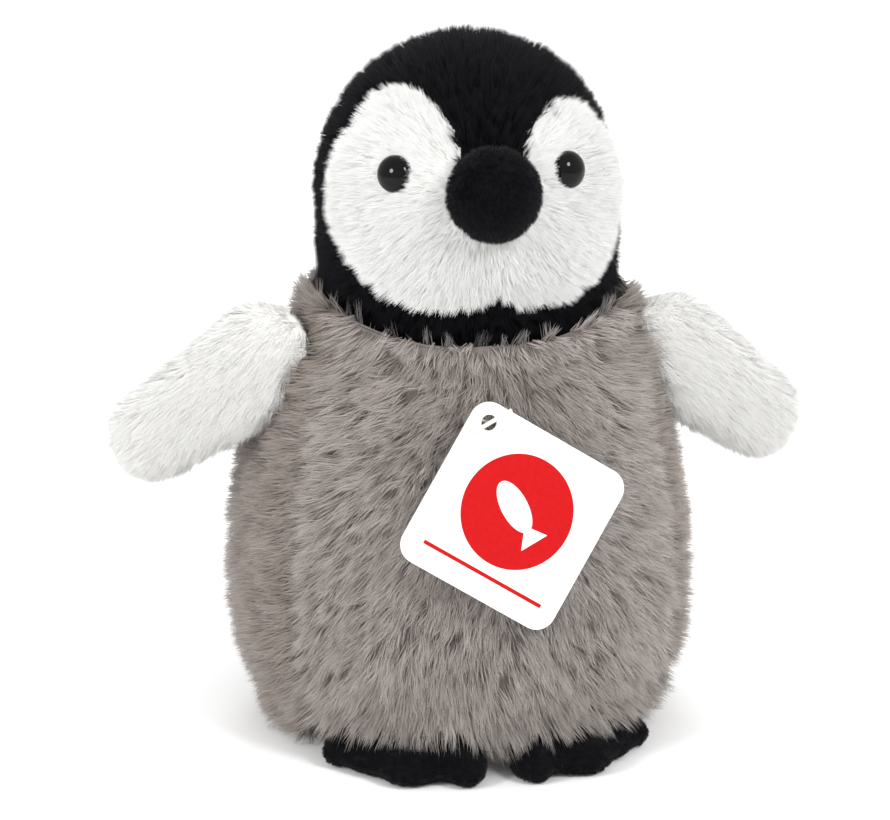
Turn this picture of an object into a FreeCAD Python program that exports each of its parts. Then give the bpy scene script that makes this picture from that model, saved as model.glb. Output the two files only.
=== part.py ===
"""Standing plush penguin chick, sewn from pile fabric panels over fibre stuffing.

Millimetres. The origin is the middle of the footprint on the floor, +Z is up and the beak points to -Y.
The outer surface of every fabric panel is where its pile lies dense, so a few loose hairs stand proud of it.
Left and right are the animal's own: its left wing and left foot are on the +X side.
"""
import FreeCAD, Part
import math
import os

import Sketcher
from FreeCAD import Placement, Rotation, Vector

doc = FreeCAD.newDocument("penguin")

# ---------------------------------------------------------------- driving dimensions

DIMENSIONS = {
    # torso: turned from two arcs that meet at the widest level
    "body_radius": 68.5,
    "belly_level": 42.0,
    "low_arc": 76.8,
    "high_arc": 169.5,
    "hem_radius": 48.0,
    "hem_level": 5.0,
    "shoulder_level": 119.0,
    "collar_top": 129.5,
    "collar_radius": 46.6,
    "body_wall": 7.0,
    "base_wall": 3.0,
    "base_radius": 37.0,
    "stuffing_top": 106.0,
    "seam_azimuth": 56.0,
    # neck: a ball of stuffing that the head turns and nods on
    "head_x": 1.6,
    "head_y": -3.0,
    "neck_level": 118.0,
    "neck_ball": 38.0,
    "neck_core": 26.0,
    "neck_rim": 108.5,
    "neck_gap": 0.4,
    "mouth_bottom": 109.5,
    "mouth_low_radius": 42.6,
    "mouth_high_radius": 45.2,
    # head: a dome on a barrel that narrows a little to the neck
    "head_radius": 42.8,
    "head_level": 157.2,
    "head_arc": 405.0,
    "head_wall": 5.0,
    "gusset_width": 26.0,
    # beak: a stuffed ball half sunk in the face
    "beak_level": 164.2,
    "beak_radius": 12.9,
    "beak_back": 43.0,
    "beak_side": 0.8,
    "beak_wall": 1.6,
    # safety eyes and their washers
    "eye_radius": 5.25,
    "eye_dome": 4.6,
    "eye_rim": 0.9,
    "eye_azimuth_left": 33.4,
    "eye_azimuth_right": 40.2,
    "eye_tilt": 12.0,
    "eye_seat_radius": 39.2,
    "eye_level": 168.0,
    "shank_radius": 1.6,
    "shank_length": 9.0,
    "washer_radius": 6.5,
    "washer_thickness": 1.4,
    "washer_depth": 5.2,
    # flippers
    "wing_root_x": 48.0,
    "wing_root_y": -18.0,
    "wing_root_z_left": 118.3,
    "wing_root_z_right": 120.7,
    "wing_sweep": 23.0,
    "wing_droop": 36.5,
    "wing_span": 55.9,
    "wing_tip_radius": 13.5,
    "wing_root_radius": 17.2,
    "wing_root_centre": 12.5,
    "wing_thickness": 16.0,
    "wing_edge": 6.5,
    "wing_wall": 4.0,
    "wing_clearance": 0.6,
    "wing_lift": 45.0,
    "shoulder_x": 49.5,
    "shoulder_y": -15.5,
    "shoulder_z": 122.5,
    # feet
    "foot_level": 4.2,
    "foot_half_height": 5.4,
    "foot_wall": 1.3,
    "foot_web_azimuth": 26.0,
    "foot_web_radius": 55.5,
    "foot_web_half_width": 21.5,
    "foot_web_half_depth": 12.0,
    "foot_step_radius": 42.0,
    "foot_step_height": 11.5,
    "foot_step_wall": 2.5,
    # weighted pellet bag that keeps the toy upright
    "bag_radius": 30.0,
    "bag_height": 14.0,
    "bag_floor": 5.0,
    # swing tag on its plastic fastener
    "tag_side": 49.0,
    "tag_corner": 5.5,
    "tag_thickness": 0.8,
    "tag_hole_radius": 2.2,
    "tag_hole_x": -18.9,
    "tag_hole_y": 18.9,
    "tag_spin": 32.8,
    "tag_turn": 4.0,
    "tag_lean": 10.0,
    "tag_x": -3.6,
    "tag_y": -63.0,
    "tag_z": 104.8,
    "bar_length": 14.0,
    "bar_radius": 0.6,
    "bar_slope": 26.0,
    "filament_radius": 0.4,
    "filament_length": 12.0,
    "filament_clearance": 0.06,
    "paddle_radius": 4.0,
    "paddle_thickness": 1.0,
    # blank textile label in the back seam
    "label_width": 18.0,
    "label_drop": 24.0,
    "label_thickness": 0.8,
    "label_level": 40.0,
    "label_root": 4.0,
}

# each toe: azimuth from the front, distance of its middle from the torso's axis, half width and half length
TOES = {
    "inner": (8.6, 61.0, 6.2, 9.5),
    "middle": (23.2, 59.5, 10.4, 12.5),
    "outer": (45.0, 56.0, 6.4, 9.3),
}
# the step over the feet reaches this far around to each side of the front
FOOT_STEP_AZIMUTH = 64.0

sheet = doc.addObject("Spreadsheet::Sheet", "Dimensions")
for row, (alias, value) in enumerate(DIMENSIONS.items(), start=1):
    sheet.set(f"A{row}", alias)
    sheet.set(f"B{row}", str(value))
    sheet.setAlias(f"B{row}", alias)
doc.recompute()


def size(alias):
    """The value of one driving dimension."""
    return float(sheet.get(alias))


def cells(expression):
    """An expression over the driving dimensions, with each alias tied to the sheet."""
    words = []
    for word in expression.split():
        words.append(f"Dimensions.{word}" if word in DIMENSIONS else word)
    return " ".join(words)


def bind(item, **expressions):
    """Ties properties to expressions; a double underscore stands for the dot in a property's path."""
    for path, expression in expressions.items():
        item.setExpression(path.replace("__", "."), cells(expression))
    return item


def add(kind, name, **expressions):
    return bind(doc.addObject(kind, name), **expressions)


# ---------------------------------------------------------------- booleans and simple solids


def cut(name, base, *tools):
    """base less every tool, one Part::Cut after another; the last one carries the name."""
    result = base
    for step, tool in enumerate(tools):
        last = step == len(tools) - 1
        made = doc.addObject("Part::Cut", name if last else f"{name}_less_{step}")
        made.Base = result
        made.Tool = tool
        result = made
    return result


def common(name, first, second):
    made = doc.addObject("Part::Common", name)
    made.Base = first
    made.Tool = second
    return made


def fuse(name, *shapes):
    made = doc.addObject("Part::MultiFuse", name)
    made.Shapes = list(shapes)
    return made


def ball(name, radius, centre_z):
    return add("Part::Sphere", name, Radius=radius, Placement__Base__z=centre_z)


def disc(name, radius, bottom, height):
    return add("Part::Cylinder", name, Radius=radius, Height=height, Placement__Base__z=bottom)


def over_head_axis(item):
    """Moves a solid of the neck or head onto their axis, which stands a little forward of the torso's."""
    return bind(item, Placement__Base__x="head_x", Placement__Base__y="head_y")


def sector(name, start, sweep):
    """A tall wedge of a cylinder about the torso's axis, from one azimuth, measured from the front."""
    made = add("Part::Cylinder", name, Radius="body_radius + 10", Height="collar_top + 10")
    bind(made, Angle=sweep)
    turn = size("seam_azimuth") if start == "seam" else start
    made.Placement = Placement(Vector(0, 0, -5), Rotation(Vector(0, 0, 1), turn - 90))
    return made


# ---------------------------------------------------------------- sketches


def origin_plane(body, role):
    return next(item for item in body.Origin.OriginFeatures if item.Role == role)


def sketch_on(body, role, name):
    sketch = body.newObject("Sketcher::SketchObject", name)
    sketch.AttachmentSupport = [(origin_plane(body, role), "")]
    sketch.MapMode = "FlatFace"
    return sketch


def outline(sketch, corners):
    """A closed outline of straight lines, joined end to end and fixed at its corners."""
    points = [Vector(x, y, 0) for x, y in corners]
    for start, end in zip(points, points[1:] + points[:1]):
        sketch.addGeometry(Part.LineSegment(start, end), False)
    count = len(points)
    for side in range(count):
        sketch.addConstraint(Sketcher.Constraint("Coincident", side, 2, (side + 1) % count, 1))


def curved_outline(sketch, pieces):
    """A closed outline of lines (two points) and arcs (three points)."""
    for points in pieces:
        ends = [Vector(x, y, 0) for x, y in points]
        curve = Part.Arc(*ends) if len(ends) == 3 else Part.LineSegment(*ends)
        sketch.addGeometry(curve, False)


def named_length(sketch, kind, name, geometry, expression):
    """A dimension of the sketch, tied to the sheet."""
    number = sketch.addConstraint(Sketcher.Constraint(kind, *geometry))
    sketch.renameConstraint(number, name)
    sketch.setExpression(f"Constraints.{name}", cells(expression))


def pad(body, sketch, length, midplane=False):
    made = body.newObject("PartDesign::Pad", f"{body.Name}_pad")
    made.Profile = sketch
    bind(made, Length=length)
    made.Midplane = midplane
    return made


def spun(body, sketch, axis):
    """A full turn of a profile about one of its sketch axes."""
    made = body.newObject("PartDesign::Revolution", f"{body.Name}_turned")
    made.Profile = sketch
    made.ReferenceAxis = (sketch, [axis])
    made.Angle = 360.0
    return made


# ---------------------------------------------------------------- placement helpers


def outward(azimuth, side):
    """The level unit vector at an azimuth from the front, on the +X side or, mirrored, on the -X side."""
    turn = math.radians(azimuth)
    return Vector(side * math.sin(turn), -math.cos(turn), 0)


def frame_of(along_x, along_z):
    """The rotation whose X and Z axes are the two given directions."""
    return Rotation(along_x, along_z.cross(along_x), along_z, "XZY")


SIDES = {"left": 1, "right": -1}
parts = {}


def keep(node, item):
    """Registers a finished sub-part under its own name."""
    item.Label = node
    parts[node] = item
    return item


# ---------------------------------------------------------------- torso


def arc_radius_at(level, centre_radius, arc, centre_level):
    """How far a circular arc lies from the axis at one level."""
    return centre_radius + math.sqrt(arc**2 - (level - centre_level) ** 2)


def torso_arc(level, arc, less):
    """The radius at one level of one arc of the torso's side, drawn in by less."""
    return arc_radius_at(level, size("body_radius") - arc, arc - less, size("belly_level"))


def torso_side(low, high, less):
    """The two arcs of the torso's side between two levels, which meet at the belly's widest."""
    middle = size("belly_level")
    pieces = []
    for arc, start, end in ((size("low_arc"), low, middle), (size("high_arc"), middle, high)):
        levels = (start, (start + end) / 2, end)
        pieces.append([(torso_arc(level, arc, less), level) for level in levels])
    return pieces


def turned(name, pieces):
    """A solid turned about the vertical axis from a profile of lines and arcs."""
    body = doc.addObject("PartDesign::Body", name)
    sketch = sketch_on(body, "XZ_Plane", f"{name}_profile")
    curved_outline(sketch, pieces)
    spun(body, sketch, "V_Axis")
    return body


def torso_outside(name, less):
    """The torso's form from the floor over the collar, drawn in by less."""
    hem = (size("hem_radius") - less, 0.0)
    side = torso_side(size("hem_level"), size("shoulder_level"), less)
    foot, shoulder = side[0][0], side[-1][-1]
    hem_middle = (hem[0] + (foot[0] - hem[0]) * 0.64, foot[1] * 0.3)
    pieces = [[(0.0, 0.0), hem], [hem, hem_middle, foot], *side]
    top = shoulder
    crest = (size("collar_radius") - less, size("collar_top") - less)
    bulge = ((shoulder[0] + crest[0]) / 2 + 1.4, shoulder[1] + (crest[1] - shoulder[1]) * 0.66)
    pieces.append([shoulder, bulge, crest])
    pieces.append([crest, (0.0, crest[1])])
    pieces.append([(0.0, crest[1]), (0.0, 0.0)])
    return turned(name, pieces)


def torso_cavity():
    """The room inside the torso's walls, level at its floor and under the collar."""
    less = size("body_wall")
    floor, top = size("base_wall"), size("stuffing_top")
    side = torso_side(floor, top, less)
    pieces = [
        [(0.0, floor), side[0][0]],
        *side,
        [side[-1][-1], (0.0, top)],
        [(0.0, top), (0.0, floor)],
    ]
    return turned("torso_cavity", pieces)


def neck_socket():
    """The round hollow in the torso that the neck ball and the head's lower edge move in."""
    hollow = over_head_axis(ball("socket_ball", "neck_ball + neck_gap", "neck_level"))
    mouth = add(
        "Part::Cone",
        "socket_mouth",
        Radius1="mouth_low_radius",
        Radius2="mouth_high_radius",
        Height="collar_top - mouth_bottom + 0.5",
        Placement__Base__z="mouth_bottom",
    )
    slab = disc("socket_slab", "body_radius", "50", "mouth_bottom + 0.5 - 50")
    low_ball = common("socket_low_ball", hollow, slab)
    return fuse("neck_socket", low_ball, over_head_axis(mouth))


def foot_step(name, grown):
    """The step under the front of the belly that leaves room for the feet, or the same grown by a wall."""
    wedge = add("Part::Cylinder", f"{name}_wedge", Radius="body_radius + 10")
    bind(wedge, Height=f"foot_step_height + 5 + {grown}")
    wedge.Angle = 2 * FOOT_STEP_AZIMUTH
    wedge.Placement = Placement(Vector(0, 0, -5), Rotation(Vector(0, 0, 1), -90 - FOOT_STEP_AZIMUTH))
    return cut(name, wedge, disc(f"{name}_core", f"foot_step_radius - {grown}", "-10", "40"))


def tag_frame():
    """Where the tag's hole sits on the belly, and the tag's own right, up and outward directions."""
    turn = math.radians(size("tag_turn"))
    lean = math.radians(size("tag_lean"))
    level = Vector(math.cos(turn), math.sin(turn), 0)
    normal = Vector(math.sin(turn) * math.cos(lean), -math.cos(turn) * math.cos(lean), math.sin(lean))
    return Vector(size("tag_x"), size("tag_y"), size("tag_z")), level, normal.cross(level), normal


def pin_room():
    """The running hole for the tag's filament and the flat hollow that its inner paddle turns in."""
    place, level, _, normal = tag_frame()
    hole = add(
        "Part::Cylinder",
        "pin_hole",
        Radius="filament_radius + filament_clearance",
        Height="filament_length + 4",
    )
    hole.Placement = Placement(place - normal * (size("filament_length") + 2), frame_of(level, normal))
    hollow = add(
        "Part::Cylinder",
        "paddle_hollow",
        Radius="paddle_radius + 0.6",
        Height="paddle_thickness + 0.6",
    )
    depth = size("filament_length") + size("paddle_thickness") + 0.3
    hollow.Placement = Placement(place - normal * depth, frame_of(level, normal))
    return fuse("pin_room", hole, hollow)


socket = neck_socket()
room_for_pin = pin_room()
step = foot_step("foot_step", "0")
step_and_wall = foot_step("step_and_wall", "foot_step_wall")

torso = torso_outside("torso", 0.0)
torso_inside = torso_cavity()
torso_filling = cut("torso_filling", torso_inside, socket, step_and_wall)
torso_skin = cut("torso_skin", torso, torso_filling, socket, step, room_for_pin)

base_disc = disc("base_disc", "base_radius", "-1", "base_wall + 1.5")
keep("base_panel", common("base_panel", torso_skin, base_disc))
panels = cut("torso_panels", torso_skin, base_disc)
belly_sector = sector("belly_sector", -size("seam_azimuth"), "2 * seam_azimuth")
left_sector = sector("left_sector", "seam", "180 - seam_azimuth")
right_sector = sector("right_sector", 180.0, "180 - seam_azimuth")
keep("belly_panel", common("belly_panel", panels, belly_sector))
keep("back_panel_left", common("back_panel_left", panels, left_sector))
keep("back_panel_right", common("back_panel_right", panels, right_sector))


def pellet_bag():
    """A flat bag with a round edge."""
    low, high = size("bag_floor"), size("bag_floor") + size("bag_height")
    middle = (low + high) / 2
    edge = size("bag_radius") - size("bag_height") / 2
    pieces = [
        [(0.0, low), (edge, low)],
        [(edge, low), (size("bag_radius"), middle), (edge, high)],
        [(edge, high), (0.0, high)],
        [(0.0, high), (0.0, low)],
    ]
    return turned("pellet_bag", pieces)


bag = keep("pellet_bag", pellet_bag())
keep("body_stuffing", cut("body_stuffing", torso_filling, bag, room_for_pin))


def care_label():
    """A blank folded label: a short tongue sewn into the back seam and a flap that hangs from it."""
    body = doc.addObject("PartDesign::Body", "care_label")
    sketch = sketch_on(body, "YZ_Plane", "care_label_profile")
    thick = size("label_thickness")
    top = size("label_level")
    seam = size("body_radius") + 0.4
    outline(
        sketch,
        [
            (seam - size("label_root"), top),
            (seam + thick, top),
            (seam + thick, top - size("label_drop")),
            (seam, top - size("label_drop")),
            (seam, top - thick),
            (seam - size("label_root"), top - thick),
        ],
    )
    pad(body, sketch, "label_width", midplane=True)
    return body


keep("care_label", care_label())


# ---------------------------------------------------------------- neck and head


def neck_ring():
    """The neck's stuffing: a bowl between the torso's socket and the head's rounded foot."""
    outer = ball("neck_outer", "neck_ball", "neck_level")
    inner = ball("neck_inner", "neck_core", "neck_level")
    bowl = cut("neck_bowl", outer, inner)
    slab = disc("neck_slab", "neck_ball + 5", "neck_rim - 60", "60")
    return common("neck_stuffing", over_head_axis(bowl), over_head_axis(slab))


keep("neck_stuffing", neck_ring())


def head_form(name, less):
    """The head's domed barrel above the neck, drawn in by less."""
    low, level = size("neck_level"), size("head_level")
    radius, arc = size("head_radius"), size("head_arc")
    heights = (low, (low + level) / 2, level)
    barrel = [(arc_radius_at(height, radius - arc, arc - less, level), height) for height in heights]
    dome = radius - less
    eighth = dome * math.sqrt(0.5)
    pieces = [
        [(0.0, low), barrel[0]],
        barrel,
        [(dome, level), (eighth, level + eighth), (0.0, level + dome)],
        [(0.0, level + dome), (0.0, low)],
    ]
    return over_head_axis(turned(name, pieces))


head_outside = head_form("head_outside", 0.0)
head_inside = head_form("head_inside", size("head_wall"))
head_skin = cut("head_skin", head_outside, head_inside)

# the left face patch seen from in front: half-width and level, as arcs from the chin round to the beak
FACE_JAW = ((0.0, 134.0), (16.0, 130.2), (30.0, 133.5))
FACE_LOW_CHEEK = ((30.0, 133.5), (38.3, 143.0), (41.3, 158.0))
FACE_HIGH_CHEEK = ((41.3, 158.0), (39.6, 171.0), (33.0, 181.5))
FACE_TOP = ((33.0, 181.5), (27.0, 188.4), (19.0, 189.5))
FACE_BROW = ((19.0, 189.5), (12.3, 184.0), (9.2, 172.0))
FACE_UNDER_BEAK = ((9.2, 172.0), (0.0, 166.0))
FACE_CENTRE_SEAM = ((0.0, 166.0), (0.0, 134.0))
FACE_OUTLINE = (
    FACE_JAW,
    FACE_LOW_CHEEK,
    FACE_HIGH_CHEEK,
    FACE_TOP,
    FACE_BROW,
    FACE_UNDER_BEAK,
    FACE_CENTRE_SEAM,
)


# the brow of the left patch sits a little lower than that of the right one
BROW_DROP = {"left": 4.5, "right": 0.0}
BROW_FOOT = 172.0


def brow_level(side_name, level):
    """A level of the outline, let down by the brow's drop in step with its height over the brow's foot."""
    share = max(0.0, level - BROW_FOOT) / (FACE_TOP[-1][1] - BROW_FOOT)
    return level - BROW_DROP[side_name] * share


def face_prism(side_name, side):
    """The outline of one white face patch, carried straight back through the front of the head."""
    body = doc.addObject("PartDesign::Body", f"face_prism_{side_name}")
    sketch = sketch_on(body, "XZ_Plane", f"face_outline_{side_name}")
    pieces = [[(side * x, brow_level(side_name, z)) for x, z in points] for points in FACE_OUTLINE]
    curved_outline(sketch, pieces)
    pad(body, sketch, "head_radius + 5")
    return over_head_axis(body)


def eye_place(side_name, side):
    """Where one eye's seat lies in the face, with its axis pointing out of the head."""
    level = outward(size(f"eye_azimuth_{side_name}"), side)
    tilt = math.radians(size("eye_tilt"))
    axis = level * math.cos(tilt) + Vector(0, 0, math.sin(tilt))
    seat = level * size("eye_seat_radius") + Vector(size("head_x"), size("head_y"), size("eye_level"))
    return Placement(seat, frame_of(level.cross(Vector(0, 0, 1)), axis))


def behind_eye(side_name, side, depth):
    """The same place moved into the head along the eye's axis."""
    return eye_place(side_name, side).multiply(Placement(Vector(0, 0, -depth), Rotation()))


def eye(side_name, side):
    """A moulded safety eye: a dome on a rim, and the shank that its washer grips."""
    body = doc.addObject("PartDesign::Body", f"eye_{side_name}")
    sketch = sketch_on(body, "XZ_Plane", f"eye_profile_{side_name}")
    radius, rim, dome = size("eye_radius"), size("eye_rim"), size("eye_dome")
    shank, length = size("shank_radius"), size("shank_length")
    # the dome is a cap of a sphere centred on the axis
    centre = (dome**2 - radius**2 - rim**2) / (2 * (dome - rim))
    cap = dome - centre
    middle = (math.pi / 2 + math.atan2(rim - centre, radius)) / 2
    crown = (cap * math.cos(middle), centre + cap * math.sin(middle))
    curved_outline(
        sketch,
        [
            ((0, -length), (shank, -length)),
            ((shank, -length), (shank, 0)),
            ((shank, 0), (radius, 0)),
            ((radius, 0), (radius, rim)),
            ((radius, rim), crown, (0, dome)),
            ((0, dome), (0, -length)),
        ],
    )
    spun(body, sketch, "V_Axis")
    body.Placement = eye_place(side_name, side)
    return body


def eye_washer(side_name, side):
    """The toothed washer, drawn as a plain ring, pressed onto the shank inside the head."""
    body = doc.addObject("PartDesign::Body", f"eye_washer_{side_name}")
    sketch = sketch_on(body, "XY_Plane", f"washer_outline_{side_name}")
    centre = Vector(0, 0, 0)
    up = Vector(0, 0, 1)
    for number, (name, alias) in enumerate((("outer", "washer_radius"), ("bore", "shank_radius"))):
        sketch.addGeometry(Part.Circle(centre, up, size(alias)), False)
        sketch.addConstraint(Sketcher.Constraint("Coincident", number, 3, -1, 1))
        named_length(sketch, "Radius", name, (number, size(alias)), alias)
    pad(body, sketch, "washer_thickness")
    body.Placement = behind_eye(side_name, side, size("washer_depth"))
    return body


def eye_room(side_name, side):
    """The recess in the pile that the eye sinks into, and the hole for its shank."""
    recess = add("Part::Cylinder", f"eye_recess_{side_name}", Radius="eye_radius", Height="8")
    recess.Placement = eye_place(side_name, side)
    hole = add("Part::Cylinder", f"shank_hole_{side_name}", Radius="shank_radius")
    bind(hole, Height="shank_length + 1")
    hole.Placement = behind_eye(side_name, side, size("shank_length"))
    return fuse(f"eye_room_{side_name}", recess, hole)


def washer_room(side_name, side):
    """The hollow in the head's stuffing behind the washer's grip."""
    made = add("Part::Cylinder", f"washer_room_{side_name}", Radius="washer_radius")
    bind(made, Height="washer_thickness")
    made.Placement = behind_eye(side_name, side, size("washer_depth"))
    return made


eyes = {name: keep(f"eye_{name}", eye(name, side)) for name, side in SIDES.items()}
washers = {name: keep(f"eye_washer_{name}", eye_washer(name, side)) for name, side in SIDES.items()}
eye_rooms = {name: eye_room(name, side) for name, side in SIDES.items()}
washer_rooms = {name: washer_room(name, side) for name, side in SIDES.items()}
prisms = {name: face_prism(name, side) for name, side in SIDES.items()}

for name, side in SIDES.items():
    patch = common(f"face_whole_{name}", head_skin, prisms[name])
    keep(f"face_{name}", cut(f"face_{name}", patch, eye_rooms[name], washer_rooms[name]))

hood = cut("hood", head_skin, *prisms.values(), *eye_rooms.values())
gusset_box = add("Part::Box", "gusset_box")
bind(
    gusset_box,
    Length="gusset_width",
    Width="2 * head_radius + 20",
    Height="120",
    Placement__Base__x="head_x - gusset_width / 2",
    Placement__Base__y="head_y - head_radius - 10",
    Placement__Base__z="head_level - 0.5",
)
left_box = add("Part::Box", "left_box")
bind(
    left_box,
    Length="head_radius + 20",
    Width="2 * head_radius + 20",
    Height="160",
    Placement__Base__x="head_x",
    Placement__Base__y="head_y - head_radius - 10",
    Placement__Base__z="neck_level - 20",
)
keep("crown_gusset", common("crown_gusset", hood, gusset_box))
hood_sides = cut("hood_sides", hood, gusset_box)
keep("hood_left", common("hood_left", hood_sides, left_box))
keep("hood_right", cut("hood_right", hood_sides, left_box))


def head_stuffing():
    """The head's filling: the inside of the dome on a round foot that sits in the neck's bowl."""
    core = ball("head_core", "neck_core - neck_gap", "neck_level")
    foot = common("head_foot", core, disc("head_foot_slab", "head_radius", "neck_level - 60", "60"))
    whole = fuse("head_filling", head_inside, over_head_axis(foot))
    return cut("head_stuffing", whole, *eye_rooms.values(), *washer_rooms.values())


keep("head_stuffing", head_stuffing())


def beak_form(name, less):
    """The beak's ball in front of the head, or the same drawn in by its cover."""
    made = ball(name, f"beak_radius{less}", "beak_level")
    return bind(made, Placement__Base__x="head_x - beak_side", Placement__Base__y="head_y - beak_back")


beak_outside = beak_form("beak_outside", "")
beak_inside = beak_form("beak_inside", " - beak_wall")
keep("beak_cover", cut("beak_cover", beak_outside, head_outside, beak_inside))
keep("beak_stuffing", cut("beak_stuffing", beak_inside, head_outside))


# ---------------------------------------------------------------- flippers


def paddle(name, inset):
    """One flipper's pillow in its own frame: X runs to the tip, Z across the blade, Y through it."""
    body = doc.addObject("PartDesign::Body", name)
    sketch = sketch_on(body, "XZ_Plane", f"{name}_outline")
    span, start = size("wing_span"), size("wing_root_centre")
    tip, root = size("wing_tip_radius") - inset, size("wing_root_radius") - inset
    # the long edges touch both round ends without a corner
    taper = math.asin((root - tip) / (span - start))
    meet_tip = (span + tip * math.sin(taper), tip * math.cos(taper))
    meet_root = (start + root * math.sin(taper), root * math.cos(taper))
    curved_outline(
        sketch,
        [
            (meet_root, meet_tip),
            (meet_tip, (span + tip, 0), (meet_tip[0], -meet_tip[1])),
            ((meet_tip[0], -meet_tip[1]), (meet_root[0], -meet_root[1])),
            ((meet_root[0], -meet_root[1]), (start - root, 0), meet_root),
        ],
    )
    length = "wing_thickness - 2 * wing_wall" if inset else "wing_thickness"
    blade = pad(body, sketch, length, midplane=True)
    doc.recompute()
    fillet = body.newObject("PartDesign::Fillet", f"{name}_edges")
    half_thick = size("wing_thickness") / 2 - inset
    flat = [
        f"Edge{number}"
        for number, edge in enumerate(blade.Shape.Edges, start=1)
        if abs(abs(edge.BoundBox.Center.y) - half_thick) < 0.01 and edge.BoundBox.XLength > 0.01
    ]
    fillet.Base = (blade, flat)
    fillet.Radius = size("wing_edge") - 0.8 * inset
    return body


def wing_level(side):
    """The level way out from the shoulder, swept back."""
    sweep = math.radians(size("wing_sweep"))
    return Vector(side * math.cos(sweep), math.sin(sweep), 0)


def wing_placement(side_name, side):
    """The flipper's frame at its shoulder: swept back and drooping."""
    droop = math.radians(size("wing_droop"))
    along = wing_level(side) * math.cos(droop) - Vector(0, 0, math.sin(droop))
    across = wing_level(side) * math.sin(droop) + Vector(0, 0, math.cos(droop))
    root = Vector(side * size("wing_root_x"), size("wing_root_y"), size(f"wing_root_z_{side_name}"))
    return Placement(root, frame_of(along, across))


def torso_seen_raised(name, side, share):
    """The torso's form as a flipper raised by a share of its lift meets it."""
    form = torso_outside(name, -size("wing_clearance"))
    hinge = Vector(side * size("shoulder_x"), size("shoulder_y"), size("shoulder_z"))
    axis = wing_level(side).cross(Vector(0, 0, 1))
    form.Placement = Placement(Vector(0, 0, 0), Rotation(axis, -share * size("wing_lift")), hinge)
    return form


def wing(side_name, side):
    """Front and back panels around a flat pillow of stuffing; the root clears the torso as it lifts."""
    torso_keepouts = []
    for number, share in enumerate((0.0, 0.5, 1.0)):
        torso_keepouts.append(torso_seen_raised(f"shoulder_{side_name}_{number}", side, share))
    place = wing_placement(side_name, side)
    outside = paddle(f"wing_outside_{side_name}", 0.0)
    inside = paddle(f"wing_inside_{side_name}", size("wing_wall"))
    outside.Placement = place
    inside.Placement = place
    half = add("Part::Box", f"wing_half_{side_name}", Length="200", Width="60", Height="120")
    half.Placement = place.multiply(Placement(Vector(-60, 0, -60), Rotation()))
    skin = cut(f"wing_skin_{side_name}", outside, inside, *torso_keepouts)
    beyond = common(f"wing_far_{side_name}", skin, half)
    before = cut(f"wing_near_{side_name}", skin, half)
    # the frame's Y axis points back on the left side and forward on the right
    front, back = (before, beyond) if side > 0 else (beyond, before)
    keep(f"wing_{side_name}_front", front)
    keep(f"wing_{side_name}_back", back)
    keep(f"wing_{side_name}_stuffing", cut(f"wing_stuffing_{side_name}", inside, *torso_keepouts))


for name, side in SIDES.items():
    wing(name, side)


# ---------------------------------------------------------------- feet


def lobe(name, azimuth, reach, half_width, half_depth, less, side):
    """One flattened egg of a foot, with its long way pointing out from the torso's axis."""
    made = add("Part::Ellipsoid", name, Radius1=f"foot_half_height{less}")
    made.Radius2 = half_width
    made.Radius3 = half_depth
    forward = outward(azimuth, side)
    place = forward * reach + Vector(0, 0, size("foot_level"))
    made.Placement = Placement(place, frame_of(Vector(-forward.y, forward.x, 0), Vector(0, 0, 1)))
    return made


def foot_form(name, inset, side):
    """Three toes and the web that joins them, standing flat on the floor."""
    less = " - foot_wall" if inset else ""
    lobes = [
        lobe(f"{name}_{toe}", azimuth, reach, half_width - inset, half_length - inset, less, side)
        for toe, (azimuth, reach, half_width, half_length) in TOES.items()
    ]
    web_width = size("foot_web_half_width") - inset
    web_depth = size("foot_web_half_depth") - inset
    azimuth = size("foot_web_azimuth")
    lobes.append(lobe(f"{name}_web", azimuth, size("foot_web_radius"), web_width, web_depth, less, side))
    whole = fuse(f"{name}_lobes", *lobes)
    floor = "foot_wall" if inset else "0"
    return common(name, whole, disc(f"{name}_floor", "120", floor, "40"))


def foot(side_name, side):
    """Upper and sole of one foot, parted at mid height, around its stuffing."""
    outside = foot_form(f"foot_outside_{side_name}", 0.0, side)
    inside = foot_form(f"foot_inside_{side_name}", size("foot_wall"), side)
    skin = cut(f"foot_skin_{side_name}", outside, inside)
    upper = disc(f"foot_upper_{side_name}", "120", "foot_level", "40")
    keep(f"foot_{side_name}_top", common(f"foot_top_{side_name}", skin, upper))
    keep(f"foot_{side_name}_sole", cut(f"foot_sole_{side_name}", skin, upper))
    keep(f"foot_{side_name}_stuffing", inside)


for name, side in SIDES.items():
    foot(name, side)


# ---------------------------------------------------------------- swing tag


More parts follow.
